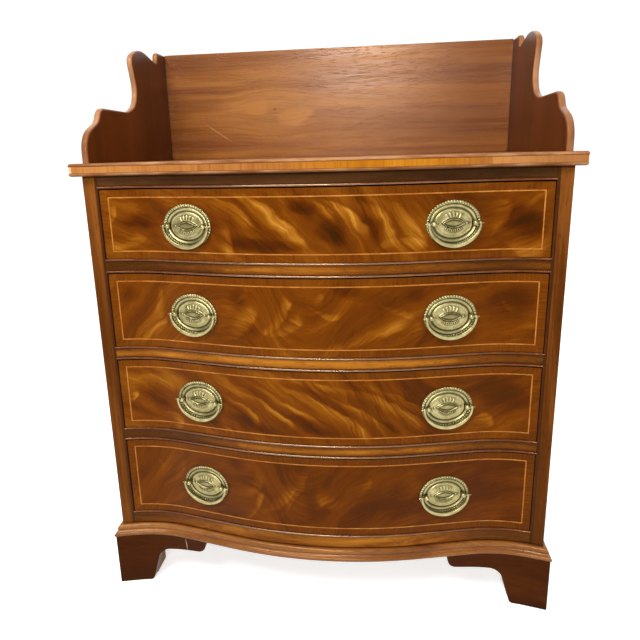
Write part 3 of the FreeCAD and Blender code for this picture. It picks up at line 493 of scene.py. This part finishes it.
def satinwood():
    """Pale string let into the fronts: straight and fine."""
    finish = polished("satinwood_string")
    grain = finish.noise(finish.spot, scale=60, detail=3)
    fine = finish.noise(finish.spot, scale=700, detail=2)
    tone = finish.plus(finish.times(grain, 0.75), finish.times(fine, 0.25))
    finish.set("Base Color", finish.ramp(tone, (0.3, paint(150, 86, 32)), (0.5, paint(180, 112, 46)),
                                         (0.7, paint(200, 138, 70))))
    finish.set("Roughness", finish.smooth(fine, 0.3, 0.7, 0.28, 0.4))
    finish.set("Normal", finish.bump(fine, 0.00004))
    return finish.material


# Heights of the crossband's middle, of the rails between the drawers and of the other rails' edges, and how far
# from the middle of the chest the posts and the upright beads begin
BAND_LEVEL = 0.756
LOWEST_RAIL = 0.2972
RAIL_PITCH = 0.1514
RAIL_HALF = 0.008
TOP_RAIL_FOOT = 0.7294
BOTTOM_RAIL_HEAD = 0.1378
MOULDING_HEAD = 0.117
POST_INNER = 0.3545
BEAD_INNER = 0.3505
# The brown of painted shade beside the beads and on the upright beads
PAINTED_SHADE = paint(40, 18, 6)
# The crossband's lengths to the metre, how uneven they are, and where the painted highlight at its left end
# begins
BAND_LENGTHS = 11.5
BAND_UNEVEN = 2.4
BAND_LIT_CORNER = -0.3815
KNOT_HEIGHT = 0.862
BACK_BOARD_WIDTH = 0.118


def polished_top():
    """The top board: golden on its surface, pinkish brown on both rounded arrises, partly worn and partly a
    painted highlight.
    """
    made = timber(polished("polished_top"), "X", **GOLDEN)
    # Painted highlight and wear: the rounded arrises are given a paler pinkish brown.
    arris = made.smooth(made.normal_axes()[2], 0.80, 0.97, 1.0, 0.0)
    rubbed = made.ramp(made.noise(made.scaled(made.spot, (22, 22, 120)), detail=4), (0.3, paint(112, 66, 38)),
                       (0.5, paint(148, 98, 64)), (0.72, paint(186, 138, 98)))
    made.set("Base Color", made.mix(arris, made.colour, made.corner_shaded(rubbed, 0.004)))
    return made.material


def edge_band():
    """Crossband round the top's edge: short lengths with upright grain, each of its own tone."""
    finish = polished("edge_crossband")
    across, depth, height = finish.axes(finish.spot)
    run = finish.plus(across, depth)

    def band_noise(along, upward, **settings):
        where = finish.vector(finish.times(run, along), finish.times(height, upward), 0.0)
        return finish.noise(where, **settings)
    uneven = band_noise(3.0, 0.0)
    upright = band_noise(340.0, 18.0, detail=4, roughness=0.6)
    broad = band_noise(26.0, 8.0, detail=2)
    piece = finish.math("FLOOR", finish.plus(finish.times(run, BAND_LENGTHS), finish.times(uneven, BAND_UNEVEN)))
    tone = finish.plus(finish.times(finish.own_tone(piece), 0.30), finish.times(upright, 0.45),
                       finish.times(broad, 0.35))
    colour = finish.ramp(tone, (0.28, paint(144, 84, 36)), (0.50, paint(176, 112, 54)),
                         (0.78, paint(200, 140, 80)))
    golden = finish.ramp(tone, (0.28, paint(150, 84, 14)), (0.50, paint(182, 110, 20)),
                         (0.78, paint(204, 138, 42)))
    warmer = finish.times(finish.smooth(across, -0.10, 0.06), finish.smooth(across, 0.16, 0.30, 1.0, 0.0))
    colour = finish.mix(warmer, colour, golden)
    darker_end = finish.smooth(across, 0.24, 0.36, 0.0, 0.55)
    colour = finish.mix(darker_end, colour, paint(124, 74, 44))
    # Painted highlight: the front of the band's left end is paler, as a corner catching the light.
    lit_corner = finish.smooth(across, BAND_LIT_CORNER - MM, BAND_LIT_CORNER, 1.0, 0.0)
    colour = finish.mix(finish.times(lit_corner, finish.front(0.8)), colour, paint(236, 202, 164))
    # A thin dark line of painted shade against each arris
    line = finish.smooth(finish.size(finish.minus(height, BAND_LEVEL)), 0.0043, 0.0053, 0.0, 0.75)
    finish.set("Base Color", finish.mix(line, colour, paint(70, 36, 14)))
    finish.set("Roughness", finish.smooth(upright, 0.3, 0.7, 0.27, 0.38))
    finish.set("Normal", finish.bump(upright, 0.00005))
    return finish.material


def gallery_back():
    """Wide plain board with a small knot, two bright swirls beside it and a scratch, with a painted sheen in its
    middle and darker towards its ends.
    """
    finish = Finish("gallery_board", specular_ior_level=0.42, specular_tint=paint(255, 232, 216))
    across, depth, height = finish.axes(finish.spot)
    flat = finish.vector(across, height, 0.0)
    cloudy = finish.warped(flat, 25.0, 0.03)

    def patch(place, tail, head, half_width, strength):
        return finish.times(mark(finish, PATCH, place, tail, head, half_width), strength)
    # The grain bends round the knot
    near_knot = patch(flat, (-0.20, KNOT_HEIGHT), (-0.05, KNOT_HEIGHT), 0.075, -0.55)
    spread = finish.times(finish.minus(height, KNOT_HEIGHT), near_knot)
    bent = finish.vector(across, depth, finish.plus(height, spread))
    swirls_and_sheen = finish.plus(patch(cloudy, (-0.182, KNOT_HEIGHT), (-0.146, 0.872), 0.017, 0.34),
                         patch(cloudy, (-0.110, 0.849), (-0.050, 0.852), 0.019, 0.38),
                         patch(flat, (-0.127, 0.865), (-0.121, 0.866), 0.004, -0.35),
                         finish.times(finish.minus(finish.noise(flat, scale=6.0, detail=2), 0.5), 0.25),
                         # Painted sheen: paler in the middle of the board, darker towards its ends
                         finish.smooth(finish.size(finish.plus(across, 0.04)), 0.10, 0.36, 0.05, -0.12))
    timber(finish, "X", place=bent, extra=swirls_and_sheen, stripes=30, shine=0.27, pore=0.2, **BOARD)
    scratch = patch(finish.warped(flat, 30.0, 0.004), (-0.2757, 0.8382), (-0.2205, 0.8013), 0.0011,
                    finish.front(0.7))
    finish.set("Base Color", finish.mix(scratch, finish.colour, paint(206, 150, 88)))
    return finish.material


def gallery_end():
    """Shaped end board: faces painted dark as shade, and a paler moulded edge, partly worn and partly a painted
    highlight.
    """
    made = timber(polished("gallery_end"), "Z", wear=0.5, **SHADED_INSIDE)
    # Painted highlight and wear: the moulded edge faces are given a paler colour.
    on_edge = made.smooth(made.size(made.normal_axes()[0]), 0.45, 0.95, 1.0, 0.0)
    edge = made.ramp(made.noise(made.scaled(made.spot, (30, 14, 14)), detail=4), (0.3, paint(120, 72, 42)),
                     (0.5, paint(152, 102, 68)), (0.72, paint(184, 136, 98)))
    made.set("Base Color", made.mix(on_edge, made.colour, edge))
    made.set("Roughness", made.smooth(on_edge, 0.0, 1.0, 0.34, 0.20))
    return made.material


def shade_lined(made, inset):
    """A dark line of painted shade on a face, where the inset from its edge is small."""
    line = made.smooth(inset, 0.0004, 0.0020, 0.85, 0.0)
    made.set("Base Color", made.mix(line, made.colour, PAINTED_SHADE))
    return made.material


def drawer_rail():
    """Rails between the drawers: the middle one the palest; on each, a painted highlight along its middle and
    over the bulge, and painted shade towards its edges and its ends.
    """
    finish = polished("golden_rail")
    across, _, height = finish.axes(finish.spot)
    turns = finish.math("DIVIDE", finish.minus(height, LOWEST_RAIL), RAIL_PITCH)
    off_centre = finish.minus(finish.math("FRACT", finish.plus(turns, 0.5)), 0.5)
    over = finish.size(finish.times(off_centre, RAIL_PITCH))
    # Painted highlight and shade: paler along the middle and the bulge, darker towards the edges and ends
    tone_and_painted_light = finish.plus(finish.smooth(finish.size(finish.minus(turns, 1.0)), 0.2, 0.5, 0.14, -0.04),
                        finish.smooth(over, 0.001, RAIL_HALF, 0.06, -0.10),
                        finish.smooth(finish.size(across), 0.12, 0.32, 0.0, -0.22))
    timber(finish, "X", shift=(3, 0, 1), extra=tone_and_painted_light, shine=0.26, **RAIL)
    return shade_lined(finish, finish.minus(RAIL_HALF, over))


def bottom_rail():
    """Rail over the base moulding, with a painted highlight at its middle and painted shade towards its ends."""
    finish = polished("bottom_rail")
    across, _, height = finish.axes(finish.spot)
    # Painted highlight at the middle, painted shade towards the ends
    tone_and_painted_light = finish.smooth(finish.size(across), 0.10, 0.33, 0.06, -0.14)
    timber(finish, "X", shift=(5, 0, 2), extra=tone_and_painted_light, shine=0.26, **RAIL)
    inset = finish.math("MINIMUM", finish.minus(BOTTOM_RAIL_HEAD, height), finish.minus(height, MOULDING_HEAD))
    return shade_lined(finish, inset)


def top_rail():
    """Rail in the shade of the top: its dark colours are painted shadow, darker still towards its right end as
    painted shade.
    """
    finish = polished("shaded_rail")
    across, _, height = finish.axes(finish.spot)
    # Painted shade: darker towards the right end
    timber(finish, "X", extra=finish.smooth(across, -0.2, 0.3, 0.03, -0.14), **SHADED)
    return shade_lined(finish, finish.minus(height, TOP_RAIL_FOOT))


def corner_post():
    """Post whose front is paler towards the top, partly its own tone and partly a painted highlight from the
    light above.
    """
    finish = polished("corner_post")
    across, _, height = finish.axes(finish.spot)
    # Paler towards the top: partly own tone, partly painted highlight
    tone_and_painted_light = finish.times(finish.front(), finish.plus(finish.smooth(height, 0.42, 0.74, 0.0, 0.20),
                                                     finish.smooth(height, 0.12, 0.40, -0.05, 0.0)))
    timber(finish, "Z", shift=(1, 2, 0), extra=tone_and_painted_light, **POST)
    return shade_lined(finish, finish.minus(finish.size(across), POST_INNER))


def base_moulding():
    """Glossy moulding, with painted shade in its quirk and cove."""
    finish = Finish("base_moulding", specular_ior_level=0.55, specular_tint=paint(255, 214, 170))
    timber(finish, "XY", shift=(0, 0, 2.0), shine=0.24, **MOULDED)
    finish.set("Base Color", finish.corner_shaded(finish.colour, 0.012, 0.1))
    return finish.material


def bead_wood():
    """Rounded cock bead: its reflection is painted brightest at the bulge and dimmer towards the ends and on the
    uprights, whose colour is painted darker as shade.
    """
    finish = Finish("cock_bead", ior=1.74, specular_ior_level=0.9)
    mottled = finish.noise(finish.spot, scale=26, detail=4, roughness=0.6)
    fine = finish.noise(finish.scaled(finish.spot, (90, 300, 300)), detail=3)
    tone = finish.plus(finish.times(mottled, 0.7), finish.times(fine, 0.3))
    colour = finish.ramp(tone, (0.3, paint(66, 27, 6)), (0.5, paint(92, 43, 12)), (0.7, paint(122, 66, 26)))
    across = finish.size(finish.axes(finish.spot)[0])
    upright = finish.smooth(across, BEAD_INNER, BEAD_INNER + MM)
    reflection_dimmed = finish.math("MAXIMUM", upright, finish.smooth(across, 0.10, 0.33, 0.0, 0.85))
    # Painted shade: the upright beads are darkened.
    colour = finish.mix(finish.times(upright, 0.7), colour, PAINTED_SHADE)
    # Painted reflection: the specular tint dims the reflections towards the ends and on the uprights.
    finish.set("Specular Tint", finish.mix(reflection_dimmed, paint(255, 222, 180), paint(112, 76, 52)))
    finish.set("Base Color", finish.corner_shaded(colour, 0.004, 0.2))
    finish.set("Roughness", finish.plus(finish.smooth(fine, 0.3, 0.7, 0.18, 0.26), finish.times(upright, 0.4)))
    finish.set("Normal", finish.bump(fine, 0.00002))
    return finish.material


def bracket_foot(name):
    return timber(Finish(name, **DULL), "XY", wear=0.4, **DARK)


def left_foot():
    """Dark bracket foot with a short pale crack over its wing."""
    made = bracket_foot("cracked_foot")
    across, _, height = made.axes(made.spot)
    flat = made.warped(made.vector(across, height, 0.0), 120.0, 0.004)
    crack = mark(made, PATCH, flat, (-0.2532, 0.0940), (-0.2509, 0.0730), 0.0011)
    made.set("Base Color", made.mix(made.times(crack, made.front()), made.colour, paint(214, 180, 138)))
    return made.material


def back_boards():
    """Planed pine back: upright boards with open joints and a few knots."""
    made = timber(polished("pine_back"), "Z", shine=0.6, pore=0.25, stripes=10, wear=0.3, **PINE)
    across, _, height = made.axes(made.spot)
    boards = made.math("DIVIDE", made.plus(across, 1.0), BACK_BOARD_WIDTH)
    joint = made.smooth(made.size(made.minus(made.math("FRACT", boards), 0.5)), 0.486, 0.496)
    own = made.own_tone(made.math("FLOOR", boards))
    tinted = made.mix(made.times(own, 0.35), made.colour, paint(128, 88, 48))
    knots = made.add("ShaderNodeTexVoronoi", voronoi_dimensions="2D")
    flat = made.vector(made.times(across, 7.0), made.times(height, 4.2), 0.0)
    made.feed(knots.inputs["Vector"], made.warped(flat, 3.0, 0.2))
    knots.inputs["Scale"].default_value = 1.0
    knotty = made.smooth(knots.outputs["Distance"], 0.03, 0.075, 0.75, 0.0)
    tinted = made.mix(knotty, tinted, paint(92, 54, 26))
    made.set("Base Color", made.mix(made.times(joint, 0.85), tinted, paint(52, 32, 18)))
    return made.material


def old_brass():
    """Stamped brass: pale gold on the rubbed heights, greenish brown where tarnish stays."""
    finish = Finish("old_brass", metallic=1.0)
    recess = finish.add("ShaderNodeAttribute", attribute_name="recess").outputs["Fac"]
    cloudy = finish.noise(finish.spot, scale=85, detail=4, roughness=0.6)
    fine = finish.noise(finish.spot, scale=900, detail=2)
    tone = finish.plus(finish.times(cloudy, 0.8), finish.times(fine, 0.2))
    colour = finish.ramp(tone, (0.30, paint(130, 120, 78)), (0.50, paint(162, 151, 104)),
                         (0.70, paint(188, 178, 132)))
    colour = finish.mix(finish.times(recess, 0.95), colour, paint(52, 46, 18))
    # Painted shade in corners and beside raised pieces, on top of the tarnish in the hollows.
    finish.set("Base Color", finish.corner_shaded(colour, 0.005, 0.2))
    finish.set("Roughness", finish.plus(finish.smooth(tone, 0.3, 0.7, 0.34, 0.46), finish.times(recess, 0.2)))
    finish.set("Normal", finish.bump(fine, 0.00003))
    return finish.material


def dress(node, material):
    mesh = NODES[node].data
    for slot in range(len(mesh.materials)):
        mesh.materials[slot] = material


def dress_all(brass):
    """Gives each CAD piece its material."""
    finishes = {
        "top_board": polished_top(),
        "top_edge_band": edge_band(),
        "gallery_back": gallery_back(),
        "top_rail": top_rail(),
        "opening_beads": bead_wood(),
        "bottom_rail": bottom_rail(),
        "base_moulding": base_moulding(),
        "back_panel": back_boards(),
        "front_left_foot": left_foot(),
    }
    rails = drawer_rail()
    posts = corner_post()
    sides = timber(polished("side_board"), "Z", stripes=11, **BROWN).material
    ends = gallery_end()
    feet = bracket_foot("bracket_foot").material
    string = satinwood()

    def planed(name, grain, colours, **settings):
        return timber(polished(name), grain, shine=0.58, pore=0.3, wear=0.35, **settings, **colours).material
    lining = {"sides": planed("oak_sides", "Y", OAK),
              "back": planed("oak_back", "X", OAK),
              "bottom": planed("oak_bottom", "X", OAK, stripes=9, shift=(0, 4, 0))}
    pine = {axis: planed(f"pine_{axis.lower()}", axis, PINE, stripes=12) for axis in "XYZ"}
    for number in DRAWERS:
        finishes[f"drawer_{number}_front"] = flame(number)
        finishes[f"drawer_{number}_inlay"] = string
        for part, material in lining.items():
            finishes[f"drawer_{number}_{part}"] = material
    for name in NODES:
        if name in finishes:
            dress(name, finishes[name])
        elif name.endswith(("_plates", "_posts")) or "_bail_" in name:
            dress(name, brass)
        elif name.startswith("corner_post"):
            dress(name, posts)
        elif name.startswith("side_"):
            dress(name, sides)
        elif name.startswith("gallery"):
            dress(name, ends)
        elif name.endswith("_foot"):
            dress(name, feet)
        elif name == "drawer_runners":
            dress(name, pine["Y"])
        elif name == "foot_blocks":
            dress(name, pine["Z"])
        elif name in ("bottom_board", "dust_boards", "drawer_stops"):
            dress(name, pine["X"])
        else:
            dress(name, rails)


# Stamped oval plates. POST_STAND is how far the bails' axis stands before the drawer's face, in metres; the other
# sizes are in mm.
POST_STAND = 0.0074
HALF_WIDTH = 42.0
HALF_HEIGHT = 34.5
# Points round the plate, rows of points over the rim and over the field inside it, and steps to measure the oval
COLUMNS = 312
RIM_ROWS = 32
RIM_END = 16.0
FIELD_ROWS = 34
FIELD_START = 16.6
OVAL_STEPS = 4001
SHARP_ANGLE = 60
# Height over the drawer's face by the inset from the oval's edge
PROFILE = ((0.0, 1.1), (0.6, 2.0), (2.2, 2.9), (3.8, 2.2), (5.2, 0.9), (6.4, 1.5), (7.5, 2.2), (8.8, 1.4),
           (10.4, 0.5), (11.6, 0.4), (12.6, 1.0), (13.6, 1.8), (14.4, 2.0), (15.6, 1.6), (FIELD_START, 1.5),
           (HALF_HEIGHT, 3.6))
# Gadroons on the rim, and how much they lean, in turns to the millimetre
GADROONS = 52
GADROON_LEAN = 0.08
# Dished lens in the middle, with a raised outline and a fainter one: rise, distance outside the lens, width
LENS_TIP = 17.0
LENS_RISE = 6.8
LENS_DISH = 0.5
OUTLINES = ((1.7, -0.3, 0.75), (0.7, 2.0, 0.55))
# Petals over the lens and short rays under it: way up, pitch in degrees, rise, where the radius begins and ends,
# and where the fan ends in radians
FAN_DROP = 7.0
FANS = ((1, 15.0, 1.1, (16.4, 17.4), (22.6, 24.4), (0.66, 0.72)),
        (-1, 10.0, 1.2, (16.4, 17.2), (20.0, 21.4), (0.70, 0.78)))
# A ball at each tip of the lens
BALL_PLACE = 20.8
BALL_RADIUS = 1.9
BALL_RISE = 1.5
# Tarnish stays where a point lies lower than the mean of those near it, and in the lens
TARNISH_DEPTH = 0.45
TARNISH_NEAR = 4
LENS_TARNISH = 0.4


def eased(values, low, high):
    share = np.clip((values - low) / (high - low), 0.0, 1.0)
    return share * share * (3 - 2 * share)


def profile(inset):
    height = np.full_like(inset, PROFILE[0][1])
    for (start, low), (stop, high) in zip(PROFILE, PROFILE[1:]):
        height = height + (high - low) * eased(inset, start, stop)
    return height


def beyond_lens(across, up):
    """How far a point lies outside the lens's outline."""
    arch = LENS_RISE * (1 - (across / LENS_TIP) ** 2)
    slope = 2 * LENS_RISE * across / LENS_TIP ** 2
    outside = (np.abs(up) - arch) / np.hypot(1.0, slope)
    return np.where(np.abs(across) > LENS_TIP, np.hypot(np.abs(across) - LENS_TIP, up), outside)


def relief(inset, share, across, up):
    """Height of the stamped face over the drawer's."""
    height = profile(inset)
    rope = 0.5 - 0.5 * np.cos(2 * np.pi * (GADROONS * share + GADROON_LEAN * inset))
    height -= rope * eased(inset, 0.2, 1.2) * (1 - eased(inset, 3.4, 4.8))
    outside = beyond_lens(across, up)
    for rise, place, width in OUTLINES:
        height += rise * np.exp(-((outside - place) / width) ** 2)
    height -= LENS_DISH * eased(-outside, 0.6, 4.0)
    for way, pitch, rise, begin, end, spread in FANS:
        over = way * up + FAN_DROP
        turn = np.arctan2(across, over)
        reach = np.hypot(across, over)
        petal = np.cos(np.pi * turn / math.radians(pitch)) ** 2
        fan = eased(reach, *begin) * (1 - eased(reach, *end)) * (1 - eased(np.abs(turn), *spread))
        height += rise * petal * fan
    ball = np.hypot(np.abs(across) - BALL_PLACE, up) / BALL_RADIUS
    height += BALL_RISE * np.sqrt(np.clip(1 - ball ** 2, 0.0, 1.0))
    return height


def plate_grid():
    """Rows of points from the plate's edge to its middle line: across, up, height and recess."""
    fine = np.linspace(0, 2 * np.pi, OVAL_STEPS)
    steps = np.hypot(np.diff(HALF_WIDTH * np.cos(fine)), np.diff(HALF_HEIGHT * np.sin(fine)))
    run = np.concatenate(([0.0], np.cumsum(steps)))
    share = np.arange(COLUMNS) / COLUMNS
    angle = np.interp(share * run[-1], run, fine)
    insets = np.concatenate((np.linspace(0, RIM_END, RIM_ROWS),
                             np.linspace(FIELD_START, HALF_HEIGHT, FIELD_ROWS)))
    inset = insets[:, None] + np.zeros(COLUMNS)
    across = (HALF_WIDTH - inset) * np.cos(angle)
    up = (HALF_HEIGHT - inset) * np.sin(angle)
    height = relief(inset, share + np.zeros_like(inset), across, up)
    around = np.zeros_like(height)
    span = range(-TARNISH_NEAR, TARNISH_NEAR + 1)
    padded = np.pad(height, ((TARNISH_NEAR, TARNISH_NEAR), (0, 0)), mode="edge")
    for row in span:
        first = TARNISH_NEAR + row
        for column in span:
            around += np.roll(padded[first:first + len(height)], column, axis=1)
    tarnished = LENS_TARNISH * eased(-beyond_lens(across, up), 0.6, 2.0)
    recess = np.clip((around / len(span) ** 2 - height) / TARNISH_DEPTH + tarnished, 0.0, 1.0)
    return across, up, height, recess


def add_plates(number, brass, grid):
    """Both plates of a drawer as one piece that stands for the CAD plates."""
    across, up, height, recess = grid
    rows = len(across)
    vertices, faces, hollows = [], [], []
    for side in ("left", "right"):
        swing = next(j for j in frame["joints"] if j["name"] == f"drawer_{number}_bail_{side}_swing")
        along = -Vector(swing["axis"]).normalized()
        out = along.cross(Vector((0, 0, 1)))
        centre = Vector(swing["pos_m"]) - out * POST_STAND
        base = len(vertices)
        for row in range(-1, rows):
            # The first ring lies on the drawer's face; the last row folds into one line of shared points
            source = max(row, 0)
            count = COLUMNS // 2 + 1 if row == rows - 1 else COLUMNS
            for column in range(count):
                lift = 0.0 if row < 0 else height[source, column]
                point = centre + along * (across[source, column] * MM) + out * (lift * MM)
                vertices.append(point + Vector((0, 0, up[source, column] * MM)))
                hollows.append(0.0 if row < 0 else recess[source, column])

        def at(ring, column):
            column %= COLUMNS
            if ring == rows:
                column = min(column, COLUMNS - column)
            return base + ring * COLUMNS + column
        for ring in range(rows):
            for column in range(COLUMNS):
                faces.append((at(ring, column), at(ring, column + 1),
                              at(ring + 1, column + 1), at(ring + 1, column)))
        faces.append(tuple(at(0, column) for column in reversed(range(COLUMNS))))
    mesh = bpy.data.meshes.new(f"drawer_{number}_stamped_plates")
    mesh.from_pydata(vertices, [], faces)
    mesh.attributes.new("recess", "FLOAT", "POINT").data.foreach_set("value", np.array(hollows, np.float32))
    mesh.polygons.foreach_set("use_smooth", [True] * len(mesh.polygons))
    mesh.set_sharp_from_angle(angle=math.radians(SHARP_ANGLE))
    mesh.materials.append(brass)
    mesh.validate()
    piece = bpy.data.objects.new(mesh.name, mesh)
    bpy.context.scene.collection.objects.link(piece)
    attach(piece, f"drawer_{number}")
    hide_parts(f"drawer_{number}_plates")


# Stage, light and camera

FLOOR_HALF = 12.0
BACKDROP = 1.1
# Name, place, target, width and height, watts
LIGHTS = (("key", (-0.7, -1.7, 2.4), (0, 0, 0.5), (1.1, 0.7), 48),
          ("fill", (1.7, -1.5, 1.2), (0, 0, 0.4), (1.2, 1.6), 6),
          ("window", (-0.01, -2.3, 1.38), (0, 0.2, 0.9), (0.4, 0.2), 24))


def make_stage():
    corners = [(x * FLOOR_HALF, y * FLOOR_HALF, 0) for x, y in ((-1, -1), (1, -1), (1, 1), (-1, 1))]
    mesh = bpy.data.meshes.new("floor")
    mesh.from_pydata(corners, [], [(0, 1, 2, 3)])
    floor = bpy.data.objects.new("floor", mesh)
    bpy.context.scene.collection.objects.link(floor)
    finish = Finish("pale_floor", roughness=0.6, specular_ior_level=0.2, emission_color=(1, 1, 1, 1),
                    emission_strength=0.55)
    shade = finish.noise(finish.spot, scale=3.0, detail=2)
    finish.set("Base Color", finish.ramp(shade, (0.3, paint(244, 243, 241)), (0.7, paint(250, 249, 248))))
    mesh.materials.append(finish.material)
    # The floor throws no light back up at the chest: the dimmer lower half of the world does instead
    floor.visible_diffuse = False


def make_world():
    """A white backdrop to look at; its light is dimmer from the front and dim from below."""
    world = bpy.data.worlds.new("studio")
    bpy.context.scene.world = world
    world.use_nodes = True
    nodes = Nodes(world.node_tree)
    _, depth, height = nodes.axes(nodes.add("ShaderNodeTexCoord").outputs["Generated"])
    level = nodes.smooth(depth, -0.1, 0.6, 0.5, 1.2)
    ground = nodes.smooth(height, -0.25, 0.0, 0.3, 1.0, kind="LINEAR")
    seen = nodes.add("ShaderNodeLightPath").outputs["Is Camera Ray"]
    background = world.node_tree.nodes["Background"].inputs
    nodes.feed(background["Strength"], nodes.mix(seen, nodes.times(level, ground), BACKDROP, kind="FLOAT"))
    background["Color"].default_value = (1, 1, 1, 1)


def make_light(name, place, target, size, watts):
    lamp = bpy.data.lights.new(name, "AREA")
    lamp.shape = "RECTANGLE"
    lamp.size, lamp.size_y = size
    lamp.energy = watts
    holder = bpy.data.objects.new(name, lamp)
    holder.location = place
    holder.rotation_mode = "QUATERNION"
    holder.rotation_quaternion = (Vector(target) - Vector(place)).to_track_quat("-Z", "Y")
    bpy.context.scene.collection.objects.link(holder)


def make_camera():
    yaw, pitch, roll = (math.radians(angle) for angle in (CAMERA_YAW, CAMERA_PITCH, CAMERA_ROLL))
    ahead = Vector((math.sin(yaw) * math.cos(pitch), math.cos(yaw) * math.cos(pitch), math.sin(pitch)))
    level = Vector((math.cos(yaw), -math.sin(yaw), 0))
    above = level.cross(ahead)
    right = math.cos(roll) * level + math.sin(roll) * above
    up = -math.sin(roll) * level + math.cos(roll) * above
    data = bpy.data.cameras.new("photo_camera")
    data.sensor_width = SENSOR
    data.lens = FOCAL_PIXELS / PICTURE * SENSOR
    data.shift_x = (PICTURE / 2 - CENTRE_PIXEL[0]) / PICTURE
    data.shift_y = (CENTRE_PIXEL[1] - PICTURE / 2) / PICTURE
    data.clip_start = 0.05
    camera = bpy.data.objects.new("photo_camera", data)
    turn = Matrix((right, up, -ahead)).transposed().to_4x4()
    camera.matrix_world = Matrix.Translation(CAMERA_PLACE) @ turn
    bpy.context.scene.collection.objects.link(camera)
    bpy.context.scene.camera = camera


BRASS = old_brass()
dress_all(BRASS)
GRID = plate_grid()
for drawer in DRAWERS:
    add_plates(drawer, BRASS, GRID)
make_stage()
make_world()
for light in LIGHTS:
    make_light(*light)
make_camera()
bpy.context.scene.view_settings.view_transform = "Standard"
